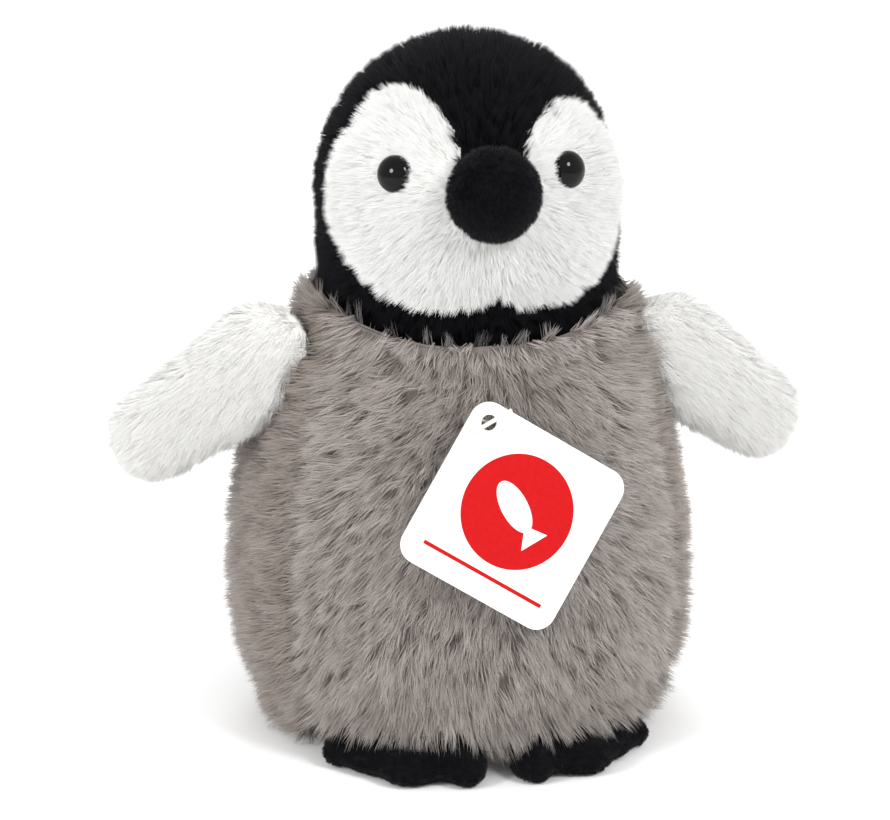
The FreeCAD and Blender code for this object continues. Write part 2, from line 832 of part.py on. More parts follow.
def hang_tag():
    """A square card with round corners and a punched hole, drawn about the hole."""
    body = doc.addObject("PartDesign::Body", "hang_tag")
    sketch = sketch_on(body, "XY_Plane", "tag_outline")
    side = size("tag_side")
    # the hole is the sketch's origin, so the card's middle is off to one side
    middle_x, middle_y = -size("tag_hole_x"), -size("tag_hole_y")
    low_x, high_x = middle_x - side / 2, middle_x + side / 2
    low_y, high_y = middle_y - side / 2, middle_y + side / 2
    outline(sketch, [(low_x, low_y), (high_x, low_y), (high_x, high_y), (low_x, high_y)])
    sketch.addGeometry(Part.Circle(Vector(0, 0, 0), Vector(0, 0, 1), size("tag_hole_radius")), False)
    named_length(sketch, "Radius", "hole", (4, size("tag_hole_radius")), "tag_hole_radius")
    card = pad(body, sketch, "tag_thickness")
    doc.recompute()
    corners = body.newObject("PartDesign::Fillet", "tag_corners")
    upright = [
        f"Edge{number}"
        for number, edge in enumerate(card.Shape.Edges, start=1)
        if abs(edge.BoundBox.ZLength - size("tag_thickness")) < 0.01 and len(edge.Vertexes) == 2
        and edge.BoundBox.XLength + edge.BoundBox.YLength < 0.01
        and abs(edge.BoundBox.XMin) + abs(edge.BoundBox.YMin) > size("tag_hole_radius") * 2
    ]
    corners.Base = (card, upright)
    bind(corners, Radius="tag_corner")
    place, level, up, normal = tag_frame()
    spin = math.radians(size("tag_spin"))
    along = level * math.cos(spin) - up * math.sin(spin)
    back_face = place - normal * (size("tag_thickness") / 2)
    body.Placement = Placement(back_face, frame_of(along, normal))
    return body


def tag_pin():
    """The moulded fastener: a cross bar over the card, a filament through it, and a paddle in the belly."""
    place, level, up, normal = tag_frame()
    slope = math.radians(size("bar_slope"))
    along = level * math.cos(slope) + up * math.sin(slope)
    lift = size("tag_thickness") / 2 + 0.15 + size("bar_radius")
    middle = place + normal * lift
    bar = add("Part::Cylinder", "pin_bar", Radius="bar_radius", Height="bar_length")
    bar.Placement = Placement(middle - along * (size("bar_length") / 2), frame_of(normal, along))
    filament = add("Part::Cylinder", "pin_filament", Radius="filament_radius")
    bind(filament, Height=f"filament_length + {lift}")
    reach = size("filament_length")
    filament.Placement = Placement(place - normal * reach, frame_of(level, normal))
    flange = add("Part::Cylinder", "pin_paddle", Radius="paddle_radius", Height="paddle_thickness")
    depth = reach + size("paddle_thickness") - 0.01
    flange.Placement = Placement(place - normal * depth, frame_of(level, normal))
    return fuse("tag_pin", bar, filament, flange)


keep("hang_tag", hang_tag())
keep("tag_pin", tag_pin())


# ---------------------------------------------------------------- checks and export

doc.recompute()
for item in doc.Objects:
    wrong = [state for state in item.State if state in ("Invalid", "Error")]
    if wrong:
        raise RuntimeError(f"{item.Name} did not build: {wrong}")

os.makedirs("parts", exist_ok=True)
for node, item in parts.items():
    shape = item.Shape
    if shape.isNull() or not shape.isValid() or not shape.Solids:
        raise RuntimeError(f"{node} is not a valid solid")
    box = shape.optimalBoundingBox(False)
    shape.exportStep(f"parts/{node}.step")
    spans = [
        f"{axis} {low:7.1f}..{high:6.1f}"
        for axis, low, high in (
            ("x", box.XMin, box.XMax),
            ("y", box.YMin, box.YMax),
            ("z", box.ZMin, box.ZMax),
        )
    ]
    print(f"{node:22s} solids {len(shape.Solids)} volume {shape.Volume / 1000:8.2f} cm3", *spans)
print(f"{len(parts)} nodes")
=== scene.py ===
"""Looks of the plush penguin chick: sewn skins with strands of pile, velour feet and beak, eyes and tag."""
import cmath
import math
from dataclasses import dataclass

import bmesh
import bpy
import numpy as np
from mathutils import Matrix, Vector


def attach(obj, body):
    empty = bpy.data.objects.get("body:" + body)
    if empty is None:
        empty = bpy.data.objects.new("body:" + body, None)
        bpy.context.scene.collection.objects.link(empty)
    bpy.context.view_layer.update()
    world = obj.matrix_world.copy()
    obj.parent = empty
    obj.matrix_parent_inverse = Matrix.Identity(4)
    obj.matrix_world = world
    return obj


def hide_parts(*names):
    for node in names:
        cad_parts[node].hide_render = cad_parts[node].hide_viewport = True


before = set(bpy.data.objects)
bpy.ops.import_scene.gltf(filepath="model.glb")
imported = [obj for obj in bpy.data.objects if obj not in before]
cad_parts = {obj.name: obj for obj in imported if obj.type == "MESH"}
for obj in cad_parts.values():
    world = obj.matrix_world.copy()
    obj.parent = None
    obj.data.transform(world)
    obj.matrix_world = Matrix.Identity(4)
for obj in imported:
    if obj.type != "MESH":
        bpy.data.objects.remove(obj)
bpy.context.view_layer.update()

MM = 0.001
UV_NAME = "OFBake"

# ------------ small helpers


def rgb(red, green, blue):
    """A screen colour, 0 to 255, as linear light."""
    linear = []
    for value in (red, green, blue):
        share = value / 255
        linear.append(share / 12.92 if share <= 0.04045 else ((share + 0.055) / 1.055) ** 2.4)
    return (*linear, 1.0)


def unit(vectors):
    return vectors / np.maximum(np.linalg.norm(vectors, axis=-1, keepdims=True), 1e-12)


def smooth(low, high, values):
    share = np.clip((values - low) / (high - low), 0, 1)
    return share * share * (3 - 2 * share)


def azimuth(points):
    """The angle from the front, growing towards +X, in radians."""
    return np.arctan2(points[:, 0], -points[:, 1])


def wobble(points, scale, seed):
    """Smooth noise between about -1 and 1: sine waves in random directions, from 1.7 to 0.5 of scale long."""
    rng = np.random.default_rng(seed)
    total = np.zeros(len(points))
    for octave in range(5):
        wave = unit(rng.normal(size=3)) * (2 * math.pi / scale) * (0.6 + 0.35 * octave)
        total += np.sin(points @ wave + rng.uniform(0, 2 * math.pi)) / (1 + 0.4 * octave)
    return total / 2.4


# ------------ materials


class Nodes:
    """A new node material with a Principled surface."""

    def __init__(self, name, **sockets):
        self.material = bpy.data.materials.new(name)
        self.material.use_nodes = True
        self.tree = self.material.node_tree
        self.shader = self.tree.nodes["Principled BSDF"]
        for label, value in sockets.items():
            self.shader.inputs[label.replace("_", " ")].default_value = value

    def add(self, kind, **settings):
        node = self.tree.nodes.new(kind)
        for key, value in settings.items():
            setattr(node, key, value)
        return node

    def link(self, source, target):
        self.tree.links.new(source, target)

    def ramp(self, factor, stops):
        node = self.add("ShaderNodeValToRGB")
        elements = node.color_ramp.elements
        while len(elements) < len(stops):
            elements.new(0.5)
        for element, (position, colour) in zip(elements, stops):
            element.position = position
            element.color = colour
        self.link(factor, node.inputs["Fac"])
        return node.outputs["Color"]

    def mix(self, factor, first, second):
        node = self.add("ShaderNodeMix", data_type="RGBA")
        for socket, value in (("Factor", factor), ("A", first), ("B", second)):
            self.link(value, node.inputs[socket])
        return node.outputs["Result"]

    def give(self, socket, value):
        """Links another node's output to a socket, or sets the socket to a plain number."""
        if isinstance(value, bpy.types.NodeSocket):
            self.link(value, socket)
        else:
            socket.default_value = value

    def math(self, operation, first, second=0.0):
        node = self.add("ShaderNodeMath", operation=operation)
        self.give(node.inputs[0], first)
        self.give(node.inputs[1], second)
        return node.outputs[0]

    def noise(self, scale, detail=3.0, stretch=(1, 1, 1)):
        """Noise in the object's own coordinates, which don't move with the pose."""
        place = self.add("ShaderNodeTexCoord").outputs["Object"]
        mapping = self.add("ShaderNodeMapping")
        mapping.inputs["Scale"].default_value = stretch
        self.link(place, mapping.inputs["Vector"])
        node = self.add("ShaderNodeTexNoise")
        node.inputs["Scale"].default_value = scale
        node.inputs["Detail"].default_value = detail
        self.link(mapping.outputs["Vector"], node.inputs["Vector"])
        return node.outputs["Fac"]

    def bump(self, height, strength, distance):
        node = self.add("ShaderNodeBump")
        node.inputs["Strength"].default_value = strength
        node.inputs["Distance"].default_value = distance
        self.link(height, node.inputs["Height"])
        self.link(node.outputs["Normal"], self.shader.inputs["Normal"])

    def colour(self, source):
        self.link(source, self.shader.inputs["Base Color"])
        return self.material


# where along a strand its root's, middle's and tip's colours sit; the darker roots are painted shade, the
# shadow that falls between the tufts
STRAND_STOPS = (0.0, 0.4, 0.95)


def pile_material(name, dark, pale, sheen, specular=0.25):
    """Pile whose colour runs from root to tip along V, darker at the roots as painted shade, and from the
    darker to the paler tufts along U.
    """
    nodes = Nodes(name, Roughness=0.82, Specular_IOR_Level=specular, Sheen_Weight=sheen, Sheen_Roughness=0.5)
    place = nodes.add("ShaderNodeUVMap", uv_map=UV_NAME).outputs["UV"]
    split = nodes.add("ShaderNodeSeparateXYZ")
    nodes.link(place, split.inputs["Vector"])
    ends = []
    for colours in (dark, pale):
        stops = [(stop, rgb(*colour)) for stop, colour in zip(STRAND_STOPS, colours)]
        ends.append(nodes.ramp(split.outputs["Y"], stops))
    return nodes.colour(nodes.mix(split.outputs["X"], *ends))


def cloth_material(name, first, second, scale, bump, roughness=0.9, sheen=0.2):
    """Woven or brushed cloth: mottled colour and a fine raised grain."""
    nodes = Nodes(name, Roughness=roughness, Specular_IOR_Level=0.2, Sheen_Weight=sheen, Sheen_Roughness=0.4)
    nodes.bump(nodes.noise(scale * 4, 5.0), 0.6, bump)
    return nodes.colour(nodes.ramp(nodes.noise(scale, 4.0), [(0.3, first), (0.7, second)]))


# each pile's colours run root, middle, tip for its darker and its paler tufts; the darker roots are painted
# shade between the tufts
GREY_PILE = pile_material(
    "grey_pile",
    ((92, 84, 80), (136, 127, 122), (164, 155, 149)),
    ((122, 114, 109), (180, 171, 165), (210, 202, 196)),
    0.12,
)
SIDE_PILE = pile_material(
    "grey_side_pile",
    ((84, 76, 71), (122, 113, 106), (148, 138, 131)),
    ((110, 100, 94), (160, 150, 143), (190, 180, 173)),
    0.12,
)
WHITE_PILE = pile_material(
    "white_pile",
    ((236, 234, 228), (246, 245, 241), (249, 248, 245)),
    ((244, 243, 238), (252, 251, 248), (254, 254, 252)),
    0.0,
)
FACE_PILE = pile_material(
    "face_pile",
    ((234, 233, 229), (246, 246, 243), (250, 250, 248)),
    ((243, 242, 239), (252, 252, 250), (255, 255, 254)),
    0.0,
)
BLACK_PILE = pile_material(
    "black_pile",
    ((1, 1, 2), (4, 3, 6), (9, 8, 12)),
    ((3, 2, 4), (10, 9, 13), (30, 27, 33)),
    0.02,
    0.1,
)
VELOUR = pile_material(
    "black_velour",
    ((2, 1, 4), (6, 5, 9), (12, 10, 16)),
    ((6, 5, 9), (15, 13, 19), (30, 27, 34)),
    0.04,
    0.1,
)
BASE_CLOTH = cloth_material("base_cloth", rgb(128, 119, 114), rgb(156, 147, 141), 900.0, 0.0002)
LABEL_CLOTH = cloth_material("label_satin", rgb(206, 206, 202), rgb(222, 222, 219), 1400.0, 0.0001, 0.45)
LINING_CLOTH = cloth_material("bag_lining", rgb(205, 200, 190), rgb(226, 222, 212), 1100.0, 0.0002)
FIBREFILL = cloth_material("fibrefill", rgb(224, 224, 220), rgb(246, 246, 244), 300.0, 0.0008, 0.95)


def gloss_material(name, first, second, roughness, coat, specular):
    """Moulded plastic with the faint mottle and ripple of its mould."""
    nodes = Nodes(name, Roughness=roughness, Specular_IOR_Level=specular)
    nodes.shader.inputs["Coat Weight"].default_value = coat
    nodes.shader.inputs["Coat Roughness"].default_value = 0.04
    nodes.bump(nodes.noise(250.0, 2.0), 0.15, 0.00005)
    return nodes.colour(nodes.ramp(nodes.noise(180.0, 2.0), [(0.35, first), (0.65, second)]))


EYE_PLASTIC = gloss_material("eye_plastic", rgb(2, 2, 3), rgb(6, 5, 7), 0.03, 0.0, 0.2)
WASHER_PLASTIC = gloss_material("washer_plastic", rgb(216, 216, 210), rgb(232, 232, 226), 0.45, 0.0, 0.5)
NYLON = gloss_material("clear_nylon", rgb(206, 204, 198), rgb(222, 220, 214), 0.3, 0.3, 0.5)


# ------------ meshes from arrays


class Surface:
    """Triangles with a smooth normal at each vertex."""

    def __init__(self, points, triangles):
        self.points = np.asarray(points, float)
        self.triangles = np.asarray(triangles, int)
        corners = self.points[self.triangles]
        faces = np.cross(corners[:, 1] - corners[:, 0], corners[:, 2] - corners[:, 0])
        self.areas = np.linalg.norm(faces, axis=1) / 2
        normals = np.zeros_like(self.points)
        for corner in range(3):
            np.add.at(normals, self.triangles[:, corner], faces)
        self.normals = unit(normals)

    def centres(self):
        return self.points[self.triangles].mean(axis=1)

    def part(self, wanted):
        """The same surface with only the wanted triangles."""
        kept = Surface(self.points, self.triangles)
        kept.triangles = self.triangles[wanted]
        kept.areas = self.areas[wanted]
        return kept

    def shell(self, thickness):
        """A closed skin: the triangles, their copy drawn inward, and a wall along every open edge."""
        used, flat = np.unique(self.triangles, return_inverse=True)
        outer = flat.reshape(-1, 3)
        count = len(used)
        points = np.vstack([self.points[used], self.points[used] - self.normals[used] * thickness])
        edges = np.vstack([outer[:, [0, 1]], outer[:, [1, 2]], outer[:, [2, 0]]])
        keys = np.sort(edges, axis=1)
        _, first, times = np.unique(keys, axis=0, return_index=True, return_counts=True)
        start, end = edges[first[times == 1]].T
        near = np.column_stack([end, start, start + count])
        far = np.column_stack([end, start + count, end + count])
        normals = np.vstack([self.normals[used], -self.normals[used]])
        return points, np.vstack([outer, outer[:, ::-1] + count, near, far]), normals


def surface_of(obj):
    """An object's mesh as triangles."""
    obj.data.calc_loop_triangles()
    points = np.empty(len(obj.data.vertices) * 3)
    obj.data.vertices.foreach_get("co", points)
    triangles = np.empty(len(obj.data.loop_triangles) * 3, int)
    obj.data.loop_triangles.foreach_get("vertices", triangles)
    return Surface(points.reshape(-1, 3), triangles.reshape(-1, 3))


def grid_surface(rows):
    """Triangles over a grid of points whose columns run around and close on themselves."""
    high, wide = rows.shape[:2]
    below, across = np.meshgrid(np.arange(high - 1), np.arange(wide), indexing="ij")
    first = (below * wide + across).ravel()
    second = (below * wide + (across + 1) % wide).ravel()
    near = np.stack([first, second, second + wide], 1)
    far = np.stack([first, second + wide, first + wide], 1)
    return Surface(rows.reshape(-1, 3), np.vstack([near, far]))


def make_object(name, points, triangles, material, uv=None, normals=None):
    mesh = bpy.data.meshes.new(name)
    mesh.vertices.add(len(points))
    mesh.vertices.foreach_set("co", np.asarray(points, np.float32).ravel())
    mesh.loops.add(len(triangles) * 3)
    mesh.loops.foreach_set("vertex_index", np.asarray(triangles, np.int32).ravel())
    mesh.polygons.add(len(triangles))
    mesh.polygons.foreach_set("loop_start", np.arange(0, len(triangles) * 3, 3, dtype=np.int32))
    mesh.polygons.foreach_set("use_smooth", np.ones(len(triangles), bool))
    if uv is not None:
        layer = mesh.uv_layers.new(name=UV_NAME)
        layer.data.foreach_set("uv", uv[np.asarray(triangles).ravel()].astype(np.float32).ravel())
    mesh.update(calc_edges=True)
    if normals is not None:
        mesh.normals_split_custom_set_from_vertices(normals.astype(np.float32))
    mesh.materials.append(material)
    obj = bpy.data.objects.new(name, mesh)
    bpy.context.scene.collection.objects.link(obj)
    return obj


def weld(obj):
    """Points in the same place become one, which closes a turned shape at its poles."""
    shape = bmesh.new()
    shape.from_mesh(obj.data)
    bmesh.ops.remove_doubles(shape, verts=shape.verts, dist=1e-7)
    shape.to_mesh(obj.data)
    shape.free()


# ------------ strands of pile


@dataclass
class Pile:
    """How one kind of pile grows. Lengths are in metres and angles in degrees."""

    spacing: float  # between neighbouring tufts
    tuft: int  # strands in one tuft
    spread: float  # a tuft's radius at its root
    length: float
    lift: float  # a strand's slope from the cloth
    width: float  # a strand's width at its root
    gather: float  # the share of the spread that is gone at the tips
    stray: float  # how far the lie turns from tuft to tuft
    waves: float = 7.0  # how far the lift changes from tuft to tuft


# the width, in metres, of the patches in which the pile's lie, lift and tone change
LIE_PATCH, LIFT_PATCH, TONE_PATCH = 0.022, 0.017, 0.012
# the flattest and the steepest that a strand may stand, in degrees
FLATTEST, STEEPEST = 8, 85
ROOT_DEPTH = 0.3 * MM
LOWEST_STRAND = 0.4 * MM
# V at a strand's three root corners and its tip, and how far apart in U they are
STRAND_V = np.array([0.015, 0.015, 0.015, 0.985])
STRAND_U = np.array([-0.012, 0.012, 0.0, 0.0])
STRAND_FACES = np.array([(0, 1, 3), (1, 2, 3), (2, 0, 3), (2, 1, 0)])


def turned_about(normals, vectors, angles):
    """vectors, square to normals, turned about them."""
    return vectors * np.cos(angles)[:, None] + np.cross(normals, vectors) * np.sin(angles)[:, None]


def grow(surface, pile, comb, seed, keep=None, scale=None, shade=None, rise=None):
    """Strands on a surface, in tufts whose tips draw together.

    comb gives the way the pile lies and keep says which roots grow. From place to place, scale changes the
    length, shade moves a tuft towards the darker or the paler colours, and rise lifts it by more degrees.
    Each strand is a closed spike with three sides, rooted in the cloth. Gives points, triangles, UVs and
    the normals to shade with.
    """
    rng = np.random.default_rng(seed)
    count = int(surface.areas.sum() / pile.spacing**2)
    faces = rng.choice(len(surface.triangles), count, p=surface.areas / surface.areas.sum())
    weights = rng.dirichlet((1, 1, 1), count)
    corners = surface.triangles[faces]
    roots = np.einsum("nk,nkc->nc", weights, surface.points[corners])
    normals = unit(np.einsum("nk,nkc->nc", weights, surface.normals[corners]))
    if keep is not None:
        kept = keep(roots, normals)
        roots, normals = roots[kept], normals[kept]
    ways = comb(roots, normals)
    ways = unit(ways - normals * np.sum(ways * normals, axis=1, keepdims=True))
    tufts = len(roots)
    swirl = 0.9 * rng.normal(size=tufts) + 1.4 * wobble(roots, LIE_PATCH, seed + 1)
    ways = turned_about(normals, ways, np.radians(pile.stray) * swirl)
    reach = pile.length * (1 + 0.06 * rng.normal(size=tufts))
    if scale is not None:
        reach = reach * scale(roots)
    lifts = pile.lift + pile.waves * (1.1 * rng.normal(size=tufts) + wobble(roots, LIFT_PATCH, seed + 2))
    if rise is not None:
        lifts = lifts + rise(roots)
    tones = 0.5 + 0.16 * rng.normal(size=tufts) + 0.14 * wobble(roots, TONE_PATCH, seed + 3)
    if shade is not None:
        tones = tones + shade(roots)

    # from here on every array has one row per strand
    owner = np.repeat(np.arange(tufts), pile.tuft)
    many = len(owner)
    normals, ways = normals[owner], ways[owner]
    sides = np.cross(normals, ways)
    ring = pile.spread * np.sqrt(rng.uniform(size=many))
    around = rng.uniform(0, 2 * math.pi, many)
    offset = ways * (ring * np.cos(around))[:, None] + sides * (ring * np.sin(around))[:, None]
    own_way = turned_about(normals, ways, np.radians(9) * rng.normal(size=many))
    lift = np.radians(np.clip(lifts[owner] + 6 * rng.normal(size=many), FLATTEST, STEEPEST))[:, None]
    heading = own_way * np.cos(lift) + normals * np.sin(lift)
    own_reach = (reach[owner] * rng.uniform(0.84, 1.04, many))[:, None]
    pull = np.clip(pile.gather + 0.12 * rng.normal(size=many), 0, 0.95)[:, None]
    start = roots[owner] + offset
    tips = start + heading * own_reach - offset * pull
    heading = unit(tips - start)
    start = start - heading * ROOT_DEPTH
    across = unit(np.cross(heading, sides + 0.3 * rng.normal(size=(many, 3))))
    beside = np.cross(heading, across)
    radius = (pile.width / 2 * rng.uniform(0.8, 1.2, many))[:, None]
    corners = []
    for turn in (0, 2 * math.pi / 3, 4 * math.pi / 3):
        corners.append(start + (across * math.cos(turn) + beside * math.sin(turn)) * radius)
    points = np.stack([*corners, tips], axis=1)
    points[:, :, 2] = np.maximum(points[:, :, 2], LOWEST_STRAND)
    triangles = (np.arange(many) * 4)[:, None, None] + STRAND_FACES

    tone = np.clip(tones[owner] + 0.13 * rng.normal(size=many), 0.02, 0.98)
    uv = np.stack([tone[:, None] + STRAND_U, np.broadcast_to(STRAND_V, (many, 4))], axis=-1)
    # a dense pile takes the light much as the surface under it does
    shading = np.repeat(unit(normals + 0.25 * rng.normal(size=(many, 3))), 4, axis=0)
    return points.reshape(-1, 3), triangles.reshape(-1, 3), uv.reshape(-1, 2), shading


def pile_piece(name, body, nodes, surface, thickness, material, strands):
    """One sewn panel: its closed cloth skin and the strands that grow on it, as one mesh."""
    points, triangles, normals = surface.shell(thickness)
    strand_points, strand_triangles, strand_uv, strand_normals = strands
    rng = np.random.default_rng(len(points))
    # the cloth skin takes the roots' dark colour: painted shade, seen in the gaps between the tufts
    uv = np.stack([rng.uniform(0.2, 0.8, len(points)), rng.uniform(0.0, 0.03, len(points))], axis=1)
    obj = make_object(
        name,
        np.vstack([points, strand_points]),
        np.vstack([triangles, strand_triangles + len(points)]),
        material,
        np.vstack([uv, strand_uv]),
        np.vstack([normals, strand_normals]),
    )
    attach(obj, body)
    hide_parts(*nodes)


# ------------ torso

# the front seams, as angles from the front
SEAM = math.radians(56)
# the level and the radius of the belly's widest ring, and the radii of the arcs below and above it
BELLY_Z = 42.0
TORSO_R = 68.5
LOW_ARC, HIGH_ARC = 76.8, 169.5
# how far the cloth lies under the dense pile
TORSO_INSET = 5.6
# the neck and the head stand a little to the penguin's left and in front of the torso's middle
NECK_X, NECK_Y = 1.6, -3.0
NECK_AXIS = np.array([NECK_X, NECK_Y]) * MM
# how far the collar's rim lies above its own level at the sides and below it under the chin
RIM_RISE, RIM_DIP = 2.0, 4.0
# how high the belly's underside is lifted clear of the feet
HEM_LIFT = 12.3
DENT_DEPTH, SEAM_DEPTH = 0.9 * MM, 1.6 * MM


def torso_radius(level):
    """The dense pile's radius at a level, in millimetres, up to the shoulder."""
    arc = np.where(level < BELLY_Z, LOW_ARC, HIGH_ARC)
    return TORSO_R - arc + np.sqrt(arc**2 - (level - BELLY_Z) ** 2)


def torso_profile():
    """Radius and level of the cloth, from the base seam up the side and over the collar into its mouth."""
    levels = np.linspace(5.5, 117.0, 44)
    radii = torso_radius(levels) - TORSO_INSET * smooth(-4, 12, levels)
    side = np.stack([radii, levels], 1)
    under = [(37.2, 0.9), (41.0, 0.9), (45.0, 0.9), (49.0, 1.1), (52.5, 1.9), (55.0, 3.4)]
    collar = [(45.9, 120.0), (46.0, 122.5), (45.8, 124.6), (45.2, 125.9), (44.5, 126.1), (44.0, 125.0)]
    mouth = [(43.8, 122.0), (43.6, 118.0), (43.5, 114.0)]
    return np.array([*under, *side, *collar, *mouth])


def beside_chin(turn):
    """0 under the chin, growing to 1 at the sides."""
    return smooth(math.radians(15), math.radians(75), np.abs(turn))


def torso_surface():
    """The torso's cloth, with soft dents and the step over the feet."""
    profile = torso_profile()
    angles = np.arange(0, 2 * math.pi, 2 * math.pi / 180)
    radii, turn = np.meshgrid(profile[:, 0], angles, indexing="ij")
    levels = profile[:, 1][:, None] + 0 * turn
    signed = (turn + math.pi) % (2 * math.pi) - math.pi
    # the collar leans forward with the neck
    lean = smooth(96, 122, levels)
    x = radii * np.sin(turn) + lean * NECK_X
    y = -radii * np.cos(turn) + lean * NECK_Y
    # the collar's rim dips under the chin
    away = beside_chin(signed)
    levels = levels + (RIM_RISE * away - RIM_DIP * (1 - away)) * smooth(108, 121, levels)
    # the belly's underside is lifted clear of the feet
    front = 1 - smooth(math.radians(57), math.radians(66), np.abs(signed))
    step = HEM_LIFT * smooth(40.5, 44.0, radii) * front
    levels = np.maximum(levels, step)
    points = np.stack([x, y, levels], axis=-1) * MM
    flat = points.reshape(-1, 3)
    shape = grid_surface(points)
    dent = DENT_DEPTH * wobble(flat, 0.055, 5) * smooth(0.016, 0.03, flat[:, 2])
    # the two front seams draw the cloth in a little, over 3 mm at a mean radius of 66 mm
    seam = np.exp(-(((np.abs(azimuth(flat)) - SEAM) * 66 / 3.0) ** 2))
    groove = -SEAM_DEPTH * seam * smooth(0.008, 0.03, flat[:, 2]) * (1 - smooth(0.112, 0.122, flat[:, 2]))
    return Surface(flat + shape.normals * (dent + groove)[:, None], shape.triangles)


def torso_comb(points, normals):
    """The pile fans out and down from under the chin, lies back on the sides and rises at the collar."""
    turn, level = azimuth(points), points[:, 2]
    around = np.stack([np.cos(turn), np.sin(turn), 0 * turn], axis=1)
    outward = np.stack([np.sin(turn), -np.cos(turn), 0 * turn], axis=1)
    up = np.array([0.0, 0.0, 1.0])
    # on the belly it fans to the sides high up, and hangs lower down
    fan = 0.4 + 0.6 * smooth(0.025, 0.085, level)
    sideways = turn * 0.058 * fan + 0.006 * wobble(points, 0.03, 9)
    down = 0.006 + 0.6 * np.maximum(0.124 - level, 0) + 0.03 * smooth(0.108, 0.118, level)
    out = 0.06 + 0.08 * on_the_rim(points)
    belly = around * sideways[:, None] - up * down[:, None] + outward * out[:, None]
    # beside the belly it lies back, and behind it hangs
    back = smooth(math.radians(80), math.radians(130), np.abs(turn))
    beside = around * (np.sign(turn) * (1 - back))[:, None] - up * (0.3 + 0.7 * back)[:, None]
    share = smooth(SEAM - 0.03, SEAM + 0.03, np.abs(turn))[:, None]
    lying = unit(belly) * (1 - share) + beside * share
    collar = 0.25 * smooth(0.119, 0.126, level) * smooth(math.radians(60), math.radians(95), np.abs(turn))
    return lying * (1 - collar[:, None]) + up * collar[:, None]


def torso_keep(points, normals):
    """Strands grow above the base's edge, but not inside the collar or where the belly lies on the feet."""
    above = points[:, 2] > 0.004
    radius = np.hypot(points[:, 0] - NECK_AXIS[0], points[:, 1] - NECK_AXIS[1])
    inside = (points[:, 2] > 0.100) & (radius < 0.0443)
    on_the_feet = (points[:, 2] < 0.0142) & (np.abs(azimuth(points)) < math.radians(62)) & (radius < 0.057)
    return above & ~inside & ~on_the_feet


def by_the_flippers(points):
    """1 beside a flipper's root, falling to 0 away from it."""
    around = (np.abs(azimuth(points)) - math.radians(66)) / 0.4
    above = (points[:, 2] - 0.113) / 0.016
    return np.exp(-(around**2) - above**2)


def near_the_hem(points):
    """1 at the torso's lower edge, falling to 0 above it."""
    return 1 - smooth(0.013, 0.024, points[:, 2])


def over_the_feet(points):
    """1 at the hem over the feet, falling to 0 away from it."""
    front = 1 - smooth(math.radians(55), math.radians(64), np.abs(azimuth(points)))
    return front * near_the_hem(points)


def on_the_rim(points):
    """1 on the collar's rim, falling to 0 below it."""
    level = points[:, 2] - (RIM_RISE + RIM_DIP) * MM * beside_chin(azimuth(points))
    return smooth(0.109, 0.118, level)


def torso_scale(points):
    """Shorter pile at the lower edge and on the collar's rim, longer over the feet and flippers' roots."""
    hem = 1 - 0.15 * near_the_hem(points) + 0.5 * over_the_feet(points)
    beside = by_the_flippers(points)
    return np.maximum(hem - 0.35 * on_the_rim(points), 0.9 * beside) + 0.6 * beside


def torso_rise(points):
    """The pile stands out over the flippers' roots and the feet, and lies flatter on the collar's rim."""
    return 14 * by_the_flippers(points) + 14 * over_the_feet(points) - 6 * on_the_rim(points)


def torso_shade(points):
    """Paler towards the penguin's left, and darker in the hollow under the chin as painted shade."""
    # painted shade: the tufts in the hollow under the chin move towards the darker colours
    painted_hollow_shade = np.exp(-((azimuth(points) / 0.45) ** 2) - (((points[:, 2] - 0.108) / 0.009) ** 2))
    return 0.10 * np.sin(azimuth(points)) - 0.22 * painted_hollow_shade


torso = torso_surface()
torso_turn = azimuth(torso.centres())
BELLY_PILE = Pile(1.9 * MM, 12, 1.6 * MM, 8.2 * MM, 44, 0.35 * MM, gather=0.28, stray=18)
BACK_PILE = Pile(1.9 * MM, 9, 1.6 * MM, 8.2 * MM, 44, 0.4 * MM, gather=0.28, stray=18)
TORSO_PANELS = (
    ("belly_panel_pile", "belly_panel", np.abs(torso_turn) <= SEAM, BELLY_PILE, GREY_PILE, 11),
    ("back_left_pile", "back_panel_left", torso_turn > SEAM, BACK_PILE, SIDE_PILE, 12),
    ("back_right_pile", "back_panel_right", torso_turn < -SEAM, BACK_PILE, SIDE_PILE, 13),
)
for name, node, faces, pile, material, seed in TORSO_PANELS:
    panel = torso.part(faces)
    strands = grow(panel, pile, torso_comb, seed, torso_keep, torso_scale, torso_shade, torso_rise)
    pile_piece(name, "torso", [node], panel, 1.0 * MM, material, strands)


def base_cloth():
    """The round base with its edge turned under."""
    under = [(0.0, 0.1), (0.5, 0.1), (20.0, 0.1), (34.0, 0.1)]
    rim = [(36.2, 0.3), (36.9, 1.0), (36.2, 1.9)]
    over = [(34.0, 2.4), (20.0, 2.6), (0.5, 2.6), (0.0, 2.6)]
    angles = np.linspace(0, 2 * math.pi, 120, endpoint=False)
    rows = [
        [(radius * math.cos(a) * MM, radius * math.sin(a) * MM, level * MM) for a in angles]
        for radius, level in (*under, *rim, *over)
    ]
    shape = grid_surface(np.array(rows))
    obj = make_object("base_cloth", shape.points, shape.triangles, BASE_CLOTH)
    weld(obj)
    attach(obj, "torso")
    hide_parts("base_panel")


base_cloth()

# ------------ head

# the dense pile's radius and level where the dome meets the barrel, and the barrel's arc
HEAD_R = 42.8
HEAD_Z = 157.2
HEAD_ARC = 405.0
# how far the cloth lies under the dense pile
HEAD_INSET = 2.6
BEAK = Vector((0.8, -46.0, 164.2)) * MM
# the face's pile parts just behind and above the beak's middle
PARTING = np.array([0, 0.004, 0.002])


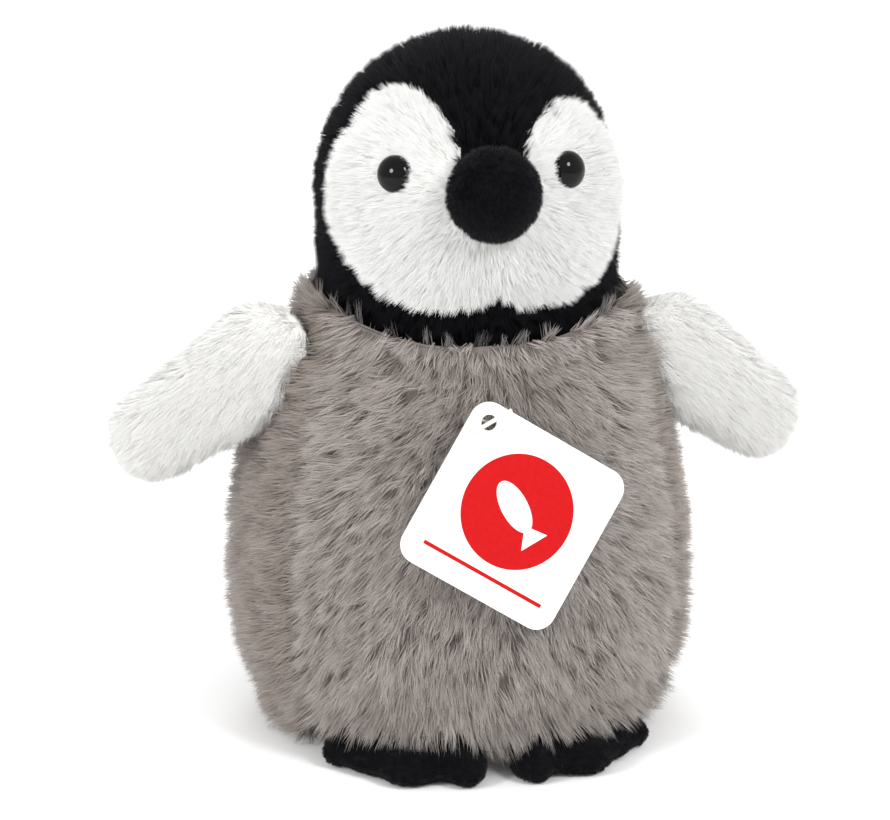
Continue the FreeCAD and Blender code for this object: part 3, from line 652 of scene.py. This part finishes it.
def head_surface():
    """The head's cloth: a dome on a barrel, a little lumpy."""
    barrel = []
    for z in np.linspace(118.5, HEAD_Z, 32)[:-1]:
        sagitta = math.sqrt(HEAD_ARC**2 - (z - HEAD_Z) ** 2)
        barrel.append((HEAD_R - HEAD_ARC + sagitta - HEAD_INSET, z))
    dome_r = HEAD_R - HEAD_INSET
    dome = [(dome_r * math.cos(t), HEAD_Z + dome_r * math.sin(t)) for t in np.linspace(0, math.pi / 2, 50)]
    dome[-1] = (0.05, HEAD_Z + dome_r)
    profile = np.array([*barrel, *dome])
    angles = np.linspace(0, 2 * math.pi, 240, endpoint=False)
    rows = np.empty((len(profile), len(angles), 3))
    rows[:, :, 0] = profile[:, :1] * np.sin(angles) + NECK_X
    rows[:, :, 1] = -profile[:, :1] * np.cos(angles) + NECK_Y
    rows[:, :, 2] = profile[:, 1:]
    shape = grid_surface(rows * MM)
    lumps = 0.5 * MM * wobble(shape.points, 0.05, 21)
    return Surface(shape.points + shape.normals * lumps[:, None], shape.triangles)


def arc_through(start, middle, end, count):
    """Points along the circle's arc through three points, without the last."""
    a, b, c = (complex(*point) for point in (start, middle, end))
    ratio = (c - a) / (b - a)
    centre = a + (b - a) * (ratio - abs(ratio) ** 2) / (2j * ratio.imag)
    first, mid, last = (cmath.phase(point - centre) for point in (a, b, c))
    sweep = (last - first) % (2 * math.pi)
    if (mid - first) % (2 * math.pi) > sweep:
        sweep -= 2 * math.pi
    points = [centre + cmath.rect(abs(a - centre), first + sweep * step / count) for step in range(count)]
    return [(point.real, point.imag) for point in points]


# the left face patch seen from in front, as arcs from the chin round to the beak
FACE_ARCS = (
    ((0.0, 134.0), (16.0, 130.2), (30.0, 133.5)),
    ((30.0, 133.5), (38.3, 143.0), (41.3, 158.0)),
    ((41.3, 158.0), (39.6, 171.0), (33.0, 181.5)),
    ((33.0, 181.5), (27.0, 188.4), (19.0, 189.5)),
    ((19.0, 189.5), (12.3, 184.0), (9.2, 172.0)),
)
FACE_OUTLINE = [point for arc in FACE_ARCS for point in arc_through(*arc, 8)] + [(9.2, 172.0), (0.0, 166.0)]
# the brow of the left patch sits lower than that of the right one
BROW_DROP = 4.5
BROW_FOOT, BROW_TOP = 172.0, 189.5
# the cloth's edge lies a little inside the outline, and its fringe reaches over it
FACE_NARROWING, FACE_SHORTENING, FACE_Z = 1.06, 1.035, 160.0
# the round of the head in the same measure as the narrowed outline
FACE_ROUND = 42.6


def face_place(points):
    """Where points lie against the outline of the face patch on their side, in millimetres."""
    across = (points[:, 0] - NECK_AXIS[0]) / MM * FACE_NARROWING
    level = FACE_Z + (points[:, 2] / MM - FACE_Z) * FACE_SHORTENING
    drop = BROW_DROP * (across > 0)
    foot, top = BROW_FOOT, BROW_TOP - drop
    stretched = foot + (level - foot) * (BROW_TOP - foot) / (top - foot)
    return np.stack([np.abs(across), np.where(level > foot, stretched, level)], axis=1)


def in_face(points):
    """Which points lie in either white patch."""
    x, z = face_place(points).T
    inside = np.zeros(len(points), bool)
    for (ax, az), (bx, bz) in zip(FACE_OUTLINE, FACE_OUTLINE[1:] + FACE_OUTLINE[:1]):
        spans = (az > z) != (bz > z)
        where = ax + (bx - ax) * (z - az) / (bz - az if bz != az else 1e-9)
        inside ^= spans & (x < where)
    return inside & (points[:, 1] < NECK_AXIS[1])


def from_beak(points, normals):
    """The way the face's pile lies: out from the beak."""
    away = points - np.array(BEAK) - PARTING
    return unit(away - normals * np.sum(away * normals, axis=1, keepdims=True))


def hood_comb(points, normals):
    """The hood's pile runs from the beak over the crown and down the back and the neck."""
    away = from_beak(points, normals)
    down = np.array([0.0, 0.25, -1.0])
    share = smooth(-0.010, 0.030, points[:, 1])[:, None]
    low = (1 - smooth(0.128, 0.150, points[:, 2]))[:, None]
    share = np.maximum(share, low)
    return away * (1 - share) + down * share


SIDES = (("left", 1), ("right", -1))
# how far round from the front each eye sits, how far up it looks, its seat's radius and its level
EYE_AZIMUTH = {1: 33.4, -1: 40.2}
EYE_TILT = 12.0
EYE_SEAT = 39.2
EYE_Z = 168.0


def eye_axis(side):
    """An eye's seat and the way it looks."""
    turn, tilt = math.radians(EYE_AZIMUTH[side]), math.radians(EYE_TILT)
    level = Vector((side * math.sin(turn), -math.cos(turn), 0))
    seat = (level * EYE_SEAT + Vector((NECK_X, NECK_Y, EYE_Z))) * MM
    return seat, level * math.cos(tilt) + Vector((0, 0, math.sin(tilt)))


def eye_distance(points):
    """How far points lie from the nearer eye's axis."""
    found = np.full(len(points), 1.0)
    for _, side in SIDES:
        seat, axis = (np.array(vector) for vector in eye_axis(side))
        gap = points - seat
        beside = gap - (gap @ axis)[:, None] * axis
        found = np.minimum(found, np.linalg.norm(beside, axis=1))
    return found


def beak_distance(points):
    """How far points on the front lie from the beak's axis, and far more for points on the back."""
    return np.hypot(points[:, 0] - BEAK.x, points[:, 2] - BEAK.z) + np.where(points[:, 1] > 0, 1.0, 0.0)


def head_keep(points, normals):
    """No pile under an eye or the beak, or on the hem in the collar's mouth."""
    return (eye_distance(points) > 4.3 * MM) & (beak_distance(points) > 10.5 * MM) & (points[:, 2] > 0.1188)


def hood_scale(points):
    """Shorter pile down the sides than on the crown."""
    return 0.8 + 0.2 * smooth(0.165, 0.190, points[:, 2])


def unrolled(place):
    """A place seen from in front, with its way across measured along the round of the head."""
    across = FACE_ROUND * np.arcsin(np.clip(place[:, 0] / FACE_ROUND, -1, 1))
    return np.stack([across, place[:, 1]], axis=1)


def edge_distance(points):
    """How far points lie from the outline of the white patches, along the head."""
    place = unrolled(face_place(points))
    corners = unrolled(np.array(FACE_OUTLINE))
    found = np.full(len(points), 1e3)
    for start, end in zip(corners, corners[1:]):
        share = np.clip((place - start) @ (end - start) / np.sum((end - start) ** 2), 0, 1)
        found = np.minimum(found, np.linalg.norm(place - start - share[:, None] * (end - start), axis=1))
    return found * MM


def face_keep(points, normals):
    """No pile on the seam round the patch either."""
    return head_keep(points, normals) & (edge_distance(points) > 0.9 * MM)


def face_scale(points):
    """Short pile round the eyes and the beak and towards the patch's edge."""
    eyes = 0.5 + 0.5 * smooth(4.5 * MM, 11 * MM, eye_distance(points))
    beak = 0.5 + 0.5 * smooth(11 * MM, 22 * MM, beak_distance(points))
    edge = 0.62 + 0.38 * smooth(1 * MM, 7 * MM, edge_distance(points))
    return np.minimum(eyes, edge) * beak


head = head_surface()
head_centres = head.centres()
head_in_face = in_face(head_centres)
gusset_strip = (np.abs(head_centres[:, 0] - NECK_AXIS[0]) < 13 * MM) & (head_centres[:, 2] > 156.7 * MM)
head_left = head_centres[:, 0] > NECK_AXIS[0]
crown = ~head_in_face & gusset_strip
hood = ~head_in_face & ~gusset_strip
HOOD_PILE = Pile(1.4 * MM, 11, 1.1 * MM, 6.0 * MM, 54, 0.3 * MM, gather=0.3, stray=18)
WHITE_FACE = Pile(1.2 * MM, 18, 1.1 * MM, 7.0 * MM, 42, 0.26 * MM, gather=0.25, stray=9, waves=4)
HEAD_PANELS = (
    ("face_left_pile", "face_left", head_in_face & head_left, FACE_PILE, "pile_face", 31),
    ("face_right_pile", "face_right", head_in_face & ~head_left, FACE_PILE, "pile_face", 32),
    ("crown_gusset_pile", "crown_gusset", crown, BLACK_PILE, "pile_black", 33),
    ("hood_left_pile", "hood_left", hood & head_left, BLACK_PILE, "pile_black", 34),
    ("hood_right_pile", "hood_right", hood & ~head_left, BLACK_PILE, "pile_black", 35),
)
for name, node, faces, material, slot, seed in HEAD_PANELS:
    panel = head.part(faces)
    if material is FACE_PILE:
        strands = grow(panel, WHITE_FACE, from_beak, seed, face_keep, face_scale)
    else:
        strands = grow(panel, HOOD_PILE, hood_comb, seed, head_keep, hood_scale)
    pile_piece(name, "head", [node], panel, 1.0 * MM, material, strands)


# ------------ stuffed pieces from their filling


def copy_of(node, name):
    """A loose copy of a CAD node's mesh."""
    obj = bpy.data.objects.new(name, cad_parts[node].data.copy())
    bpy.context.scene.collection.objects.link(obj)
    return obj


def remeshed(obj, voxel):
    modifier = obj.modifiers.new("remesh", "REMESH")
    modifier.mode = "VOXEL"
    modifier.voxel_size = voxel
    apply_modifiers(obj)


def apply_modifiers(obj):
    depsgraph = bpy.context.evaluated_depsgraph_get()
    mesh = bpy.data.meshes.new_from_object(obj.evaluated_get(depsgraph))
    obj.modifiers.clear()
    obj.data = mesh


def inflated(obj, cap):
    """The shape blown up as stuffed cloth, with no point moved further than cap."""
    before = surface_of(obj).points
    cloth = obj.modifiers.new("cloth", "CLOTH")
    cloth.settings.use_pressure = True
    cloth.settings.uniform_pressure_force = 4.0
    cloth.settings.effector_weights.gravity = 0.0
    cloth.settings.tension_stiffness = 5
    cloth.settings.compression_stiffness = 5
    for number in range(1, 21):
        bpy.context.scene.frame_set(number)
    apply_modifiers(obj)
    bpy.context.scene.frame_set(1)
    moved = surface_of(obj).points - before
    far = np.linalg.norm(moved, axis=1, keepdims=True)
    moved *= np.minimum(1.0, cap / np.maximum(far, 1e-9))
    obj.data.vertices.foreach_set("co", (before + moved).ravel())


def subdivided(obj):
    modifier = obj.modifiers.new("smooth", "SUBSURF")
    modifier.levels = 1
    apply_modifiers(obj)


def offset(obj, distance):
    """Every point of an object moved along its normal."""
    shape = surface_of(obj)
    obj.data.vertices.foreach_set("co", (shape.points + shape.normals * distance).ravel())


def pillow(node, name, voxel, clear, cap, bridge=0.0):
    """A node's filling as the swollen cloth skin that holds it, clear of it all round.

    A bridge is how far the skin spans the folds of the filling instead of following them.
    """
    obj = copy_of(node, name)
    remeshed(obj, voxel)
    offset(obj, clear + bridge)
    if bridge:
        remeshed(obj, voxel)
        offset(obj, -bridge)
    inflated(obj, cap)
    subdivided(obj)
    surface = surface_of(obj)
    bpy.data.objects.remove(obj)
    return surface


# flippers: how far back they sweep and down they droop, and where their roots' middles are
WING_SWEEP, WING_DROOP = math.radians(23), math.radians(36.5)
WING_ROOT = {1: (48.0, -18.0, 118.3), -1: (-48.0, -18.0, 120.7)}
WING_PILE = Pile(1.15 * MM, 18, 1.1 * MM, 7.4 * MM, 32, 0.25 * MM, gather=0.14, stray=6, waves=2)


def wing_frame(side):
    """A flipper's root, the way to its tip and the way out of its front."""
    outward, backward = side * math.cos(WING_SWEEP), math.sin(WING_SWEEP)
    level = math.cos(WING_DROOP)
    along = np.array([outward * level, backward * level, -math.sin(WING_DROOP)])
    forward = np.array([side * math.sin(WING_SWEEP), -math.cos(WING_SWEEP), 0.0])
    return np.array(WING_ROOT[side]) * MM, along, forward


for side_name, side in SIDES:
    root, along, forward = wing_frame(side)
    skin = pillow(f"wing_{side_name}_stuffing", f"wing_{side_name}_form", 2.4 * MM, 0.9 * MM, 1.0 * MM)
    across = np.cross(along, forward)
    across = across * np.sign(across[2])

    def wing_comb(points, normals, root=root, along=along, across=across):
        """The pile lies towards the tip and a little down."""
        out = (points - root) @ along
        fan = (points - root) @ across
        return along + across * (fan * 9 * smooth(0.03, 0.07, out) - 0.16)[:, None]

    def wing_scale(points, root=root, along=along):
        """Shorter pile round the tip and on the root's end."""
        out = (points - root) @ along
        return (1 - 0.32 * smooth(0.050, 0.066, out)) * (0.4 + 0.6 * smooth(0.002, 0.014, out))

    def wing_keep(points, normals, along=along):
        """No pile on the side that lies against the torso."""
        return normals @ along > -0.9

    in_front = (skin.centres() - root) @ forward > 0
    for part_name, faces, seed in (("front", in_front, 41), ("back", ~in_front, 43)):
        panel = skin.part(faces)
        strands = grow(panel, WING_PILE, wing_comb, seed + (side < 0), wing_keep, wing_scale)
        node = f"wing_{side_name}_{part_name}"
        name = f"{node}_pile"
        pile_piece(name, f"wing_{side_name}", [node], panel, 0.8 * MM, WHITE_PILE, strands)

# feet
FUZZ = Pile(0.8 * MM, 7, 0.6 * MM, 0.9 * MM, 50, 0.2 * MM, gather=0.2, stray=50)
LOWEST_SKIN, LOWEST_FUZZ, SOLE_SEAM = 0.2 * MM, 0.6 * MM, 4.2 * MM


def outwards(points, normals):
    """Level and away from the torso's middle."""
    return np.stack([points[:, 0], points[:, 1], 0 * points[:, 2]], axis=1) + 0.001


def foot_keep(points, normals):
    """No pile on the sole's flat."""
    return points[:, 2] > LOWEST_FUZZ


for side_name, side in SIDES:
    name = f"foot_{side_name}_form"
    skin = pillow(f"foot_{side_name}_stuffing", name, 1.4 * MM, 0.9 * MM, 0.4 * MM, 4.0 * MM)
    skin.points[:, 2] = np.maximum(skin.points[:, 2], LOWEST_SKIN)
    is_top = skin.centres()[:, 2] > SOLE_SEAM
    for part_name, faces, seed in (("top", is_top, 51), ("sole", ~is_top, 53)):
        panel = skin.part(faces)
        strands = grow(panel, FUZZ, outwards, seed + (side < 0), foot_keep)
        node = f"foot_{side_name}_{part_name}"
        name = f"{node}_velour"
        pile_piece(name, f"foot_{side_name}", [node], panel, 0.6 * MM, VELOUR, strands)

# beak
BEAK_FUZZ = Pile(0.8 * MM, 6, 0.6 * MM, 1.7 * MM, 55, 0.2 * MM, gather=0.2, stray=40)


def beak_comb(points, normals):
    """Down and a little forwards."""
    return np.array([0.0, -0.3, -1.0]) + 0 * points


def beak_keep(points, normals):
    """No pile on the end that is sewn to the face."""
    return points[:, 1] < -0.036


skin = pillow("beak_stuffing", "beak_form", 1.6 * MM, 1.2 * MM, 0.5 * MM)
strands = grow(skin, BEAK_FUZZ, beak_comb, 61, beak_keep)
pile_piece("beak_velour", "head", ["beak_cover"], skin, 0.5 * MM, VELOUR, strands)

# ------------ eyes

EYE_R, EYE_RIM, EYE_DOME = 5.25, 0.9, 3.7
SHANK_R, SHANK_END = 1.55, -9.0


def eye_piece(side_name, side):
    """A moulded dome with a rounded rim, on its shank."""
    seat, axis = eye_axis(side)
    quarter = np.linspace(0, math.pi / 2, 22)
    shank = [(0.0, SHANK_END), (SHANK_R - 0.15, SHANK_END), (SHANK_R, SHANK_END + 0.2), (SHANK_R, -0.1)]
    rim = [(EYE_R - 0.45, 0.0), (EYE_R - 0.1, 0.25)]
    dome = [(EYE_R * math.cos(t), EYE_RIM + EYE_DOME * math.sin(t)) for t in quarter[:-1]]
    profile = [*shank, *rim, *dome, (0.0, EYE_RIM + EYE_DOME)]
    across = axis.orthogonal().normalized()
    beside = axis.cross(across)
    rows = []
    for radius, height in profile:
        ring = []
        for turn in np.linspace(0, 2 * math.pi, 64, endpoint=False):
            spoke = across * math.cos(turn) + beside * math.sin(turn)
            ring.append(seat + (spoke * radius + axis * height) * MM)
        rows.append(ring)
    shape = grid_surface(np.array(rows))
    obj = make_object(f"eye_{side_name}_dome", shape.points, shape.triangles, EYE_PLASTIC)
    weld(obj)
    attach(obj, "head")
    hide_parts(f"eye_{side_name}")


for side_name, side in SIDES:
    eye_piece(side_name, side)

# ------------ tag, pin and label

# how the tag faces sideways, leans back and hangs turned in its own plane
TAG_TURN, TAG_LEAN, TAG_SPIN = math.radians(4), math.radians(10), math.radians(32.8)
TAG_HOLE = Vector((-3.6, -63.0, 104.8)) * MM
# the badge's middle from the hole, along the tag and across it, and its radius
BADGE_CENTRE = (19.3 * MM, -17.3 * MM)
BADGE_R = 16 * MM
# the fish: its turn, as a cosine and a sine, the halves of its trunk, and its tail behind it
FISH_TURN = (0.857, 0.515)
TRUNK_SHIFT, TRUNK_LONG, TRUNK_HIGH = 1.6 * MM, 8.0 * MM, 3.7 * MM
TAIL_START, TAIL_LONG, TAIL_SLOPE = 4.4 * MM, 5.6 * MM, 0.75
# the stripe: how far under the badge's middle, and the halves of its width and length
STRIPE_DOWN, STRIPE_WIDE, STRIPE_LONG = 19.4 * MM, 0.55 * MM, 19.0 * MM


def tag_axes():
    """The ways along the tag, across it and out of its face."""
    level = Vector((math.cos(TAG_TURN), math.sin(TAG_TURN), 0))
    facing = Vector((math.sin(TAG_TURN), -math.cos(TAG_TURN), 0))
    normal = facing * math.cos(TAG_LEAN) + Vector((0, 0, math.sin(TAG_LEAN)))
    up = normal.cross(level)
    along = level * math.cos(TAG_SPIN) - up * math.sin(TAG_SPIN)
    return along, normal.cross(along), normal


def card_material():
    """Coated card with a plain printed badge, a fish in it, and a plain stripe."""
    along, across, normal = tag_axes()
    nodes = Nodes("tag_card", Roughness=0.5, Specular_IOR_Level=0.15)
    calc = nodes.math
    place = nodes.add("ShaderNodeTexCoord").outputs["Object"]

    def measured(axis, origin):
        """How far a point lies along an axis of the tag from an origin on it."""
        node = nodes.add("ShaderNodeVectorMath", operation="DOT_PRODUCT")
        nodes.link(place, node.inputs[0])
        node.inputs[1].default_value = axis
        return calc("SUBTRACT", node.outputs["Value"], TAG_HOLE.dot(axis) + origin)

    x = measured(along, BADGE_CENTRE[0])
    y = measured(across, BADGE_CENTRE[1])
    face = measured(normal, 0.0)
    front = calc("GREATER_THAN", face, 0.3 * MM)

    def ellipse(first, half_first, second, half_second):
        """1 inside an ellipse with these half axes, 0 outside."""
        shares = (calc("DIVIDE", first, half_first), calc("DIVIDE", second, half_second))
        return calc("LESS_THAN", calc("ADD", *(calc("MULTIPLY", share, share) for share in shares)), 1.0)

    def within(value, limit):
        """1 where a value is nearer to 0 than the limit, on either side of it."""
        return calc("LESS_THAN", calc("ABSOLUTE", value), limit)

    def sum_of(first, first_share, second, second_share):
        first = calc("MULTIPLY", first, first_share)
        return calc("ADD", first, calc("MULTIPLY", second, second_share))

    badge = ellipse(x, BADGE_R, y, BADGE_R)
    cosine, sine = FISH_TURN
    fish_x = sum_of(x, cosine, y, -sine)
    fish_y = sum_of(x, sine, y, cosine)
    trunk = ellipse(calc("ADD", fish_x, TRUNK_SHIFT), TRUNK_LONG, fish_y, TRUNK_HIGH)
    behind = calc("SUBTRACT", fish_x, TAIL_START)
    tail_side = within(fish_y, calc("MULTIPLY", behind, TAIL_SLOPE))
    tail_end = calc("LESS_THAN", behind, TAIL_LONG)
    fish = calc("MAXIMUM", trunk, calc("MULTIPLY", tail_side, tail_end))
    band = within(calc("ADD", y, STRIPE_DOWN), STRIPE_WIDE)
    stripe = calc("MULTIPLY", band, within(x, STRIPE_LONG))
    red = calc("MAXIMUM", calc("SUBTRACT", badge, fish), stripe)
    red = calc("MULTIPLY", calc("MAXIMUM", red, 0.0), front)
    paper = nodes.ramp(nodes.noise(700.0, 4.0), [(0.3, rgb(226, 226, 223)), (0.7, rgb(232, 232, 229))])
    ink = nodes.ramp(nodes.noise(900.0, 3.0), [(0.3, rgb(176, 4, 8)), (0.7, rgb(186, 7, 13))])
    nodes.bump(nodes.noise(1500.0, 3.0), 0.12, 0.00004)
    return nodes.colour(nodes.mix(red, paper, ink))


def dress(node, material):
    """Gives a CAD node a better material."""
    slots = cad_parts[node].data.materials
    for number in range(len(slots)):
        slots[number] = material
    if not len(slots):
        slots.append(material)


dress("hang_tag", card_material())
dress("tag_pin", NYLON)
for side_name, _ in SIDES:
    dress(f"eye_washer_{side_name}", WASHER_PLASTIC)


# the tape's way from inside the seam down the back: how far behind the middle, and the level
LABEL_PATH = (
    (64.9, 39.6), (67.2, 39.7), (68.6, 39.3), (69.3, 37.8),
    (69.4, 34.0), (69.3, 28.0), (69.0, 22.0), (68.9, 16.4),
)
LABEL_HALF, LABEL_THICK, LABEL_COLUMNS = 9.0, 0.6, 13


def label_piece():
    """A blank folded tape that comes out of the back seam and hangs down the pile."""
    across = np.linspace(-LABEL_HALF, LABEL_HALF, LABEL_COLUMNS)
    rings = []
    for step, (back, level) in enumerate(LABEL_PATH):
        curl = 0.25 * math.sin(step * 1.3) * (across / LABEL_HALF) ** 2
        outer, inner = (
            np.stack([across, back + half + curl, np.full(LABEL_COLUMNS, level)], axis=1)
            for half in (LABEL_THICK / 2, -LABEL_THICK / 2)
        )
        rings.append(np.vstack([outer, inner[::-1]]))
    shape = grid_surface(np.array(rings) * MM)
    last = (len(LABEL_PATH) - 1) * 2 * LABEL_COLUMNS
    caps = []
    for column in range(LABEL_COLUMNS - 1):
        opposite = 2 * LABEL_COLUMNS - 1 - column
        a, b, c, d = column, column + 1, opposite - 1, opposite
        caps += [(a, d, c), (a, c, b)]
        caps += [(last + a, last + b, last + c), (last + a, last + c, last + d)]
    triangles = np.vstack([shape.triangles, caps])
    obj = make_object("care_label_tape", shape.points, triangles, LABEL_CLOTH)
    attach(obj, "torso")
    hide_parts("care_label")


label_piece()

# ------------ fillings and the pellet bag


def lumpy(node, body, voxel, depth, material):
    """A node's filling as loose fibre: its own form with a lumpy surface that stays inside it."""
    obj = copy_of(node, f"{node}_fibre")
    remeshed(obj, voxel)
    shape = surface_of(obj)
    dip = depth * (0.5 + 0.5 * wobble(shape.points, 14 * depth, 71)) + 0.15 * MM
    obj.data.vertices.foreach_set("co", (shape.points - shape.normals * dip[:, None]).ravel())
    obj.data.polygons.foreach_set("use_smooth", np.ones(len(obj.data.polygons), bool))
    obj.data.materials.clear()
    obj.data.materials.append(material)
    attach(obj, body)
    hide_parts(node)


FILLINGS = (
    ("body_stuffing", "torso", 3.0, 1.0),
    ("neck_stuffing", "neck", 1.6, 0.5),
    ("head_stuffing", "head", 2.4, 0.8),
    ("beak_stuffing", "head", 1.0, 0.3),
    ("wing_left_stuffing", "wing_left", 1.2, 0.3),
    ("wing_right_stuffing", "wing_right", 1.2, 0.3),
    ("foot_left_stuffing", "foot_left", 0.9, 0.2),
    ("foot_right_stuffing", "foot_right", 0.9, 0.2),
)
for node, body, voxel, depth in FILLINGS:
    lumpy(node, body, voxel * MM, depth * MM, FIBREFILL)
lumpy("pellet_bag", "torso", 1.2 * MM, 0.5 * MM, LINING_CLOTH)

# ------------ floor, light and camera


def floor():
    """A pale plane, 12 m across."""
    nodes = Nodes("pale_floor", Roughness=0.9)
    shades = [(0.4, rgb(250, 250, 250)), (0.6, rgb(253, 253, 253))]
    material = nodes.colour(nodes.ramp(nodes.noise(3.0), shades))
    half = 6.0
    points = [(-half, -half, 0), (half, -half, 0), (half, half, 0), (-half, half, 0)]
    make_object("floor", points, [(0, 1, 2), (0, 2, 3)], material)


def lamp(name, place, target, size, power):
    """A round soft light, its size in metres and its power in watts."""
    data = bpy.data.lights.new(name, "AREA")
    data.shape = "DISK"
    data.size = size
    data.energy = power
    obj = bpy.data.objects.new(name, data)
    obj.location = place
    obj.rotation_mode = "QUATERNION"
    obj.rotation_quaternion = (Vector(target) - Vector(place)).to_track_quat("-Z", "Y")
    bpy.context.scene.collection.objects.link(obj)


floor()
world = bpy.data.worlds.new("studio")
world.use_nodes = True
world.node_tree.nodes["Background"].inputs["Color"].default_value = (1, 1, 1, 1)
world.node_tree.nodes["Background"].inputs["Strength"].default_value = 0.92
bpy.context.scene.world = world
lamp("key", (0.65, -1.05, 1.05), (0, 0, 0.1), 0.45, 12)
lamp("fill", (-1.1, -0.7, 0.7), (0, 0, 0.1), 0.4, 9.5)
lamp("back", (0.1, 1.2, 1.0), (0, 0, 0.12), 0.8, 6)
bpy.context.scene.view_settings.view_transform = "Standard"

CAMERA_AZIMUTH = math.radians(-10.5)
CAMERA_DISTANCE, CAMERA_HEIGHT = 1.0296, 0.385
AIM_HEIGHT, AIM_LEFT = 0.0904, 0.0042
camera_data = bpy.data.cameras.new("camera")
camera_data.lens = 150
camera_data.sensor_width = 36
camera = bpy.data.objects.new("camera", camera_data)
right = Vector((math.cos(CAMERA_AZIMUTH), math.sin(CAMERA_AZIMUTH), 0))
towards = Vector((math.sin(CAMERA_AZIMUTH), -math.cos(CAMERA_AZIMUTH), 0))
camera.location = towards * CAMERA_DISTANCE + Vector((0, 0, CAMERA_HEIGHT))
aim = Vector((0, 0, AIM_HEIGHT)) - right * AIM_LEFT
camera.rotation_mode = "QUATERNION"
camera.rotation_quaternion = (aim - camera.location).to_track_quat("-Z", "Y")
bpy.context.scene.collection.objects.link(camera)
bpy.context.scene.camera = camera
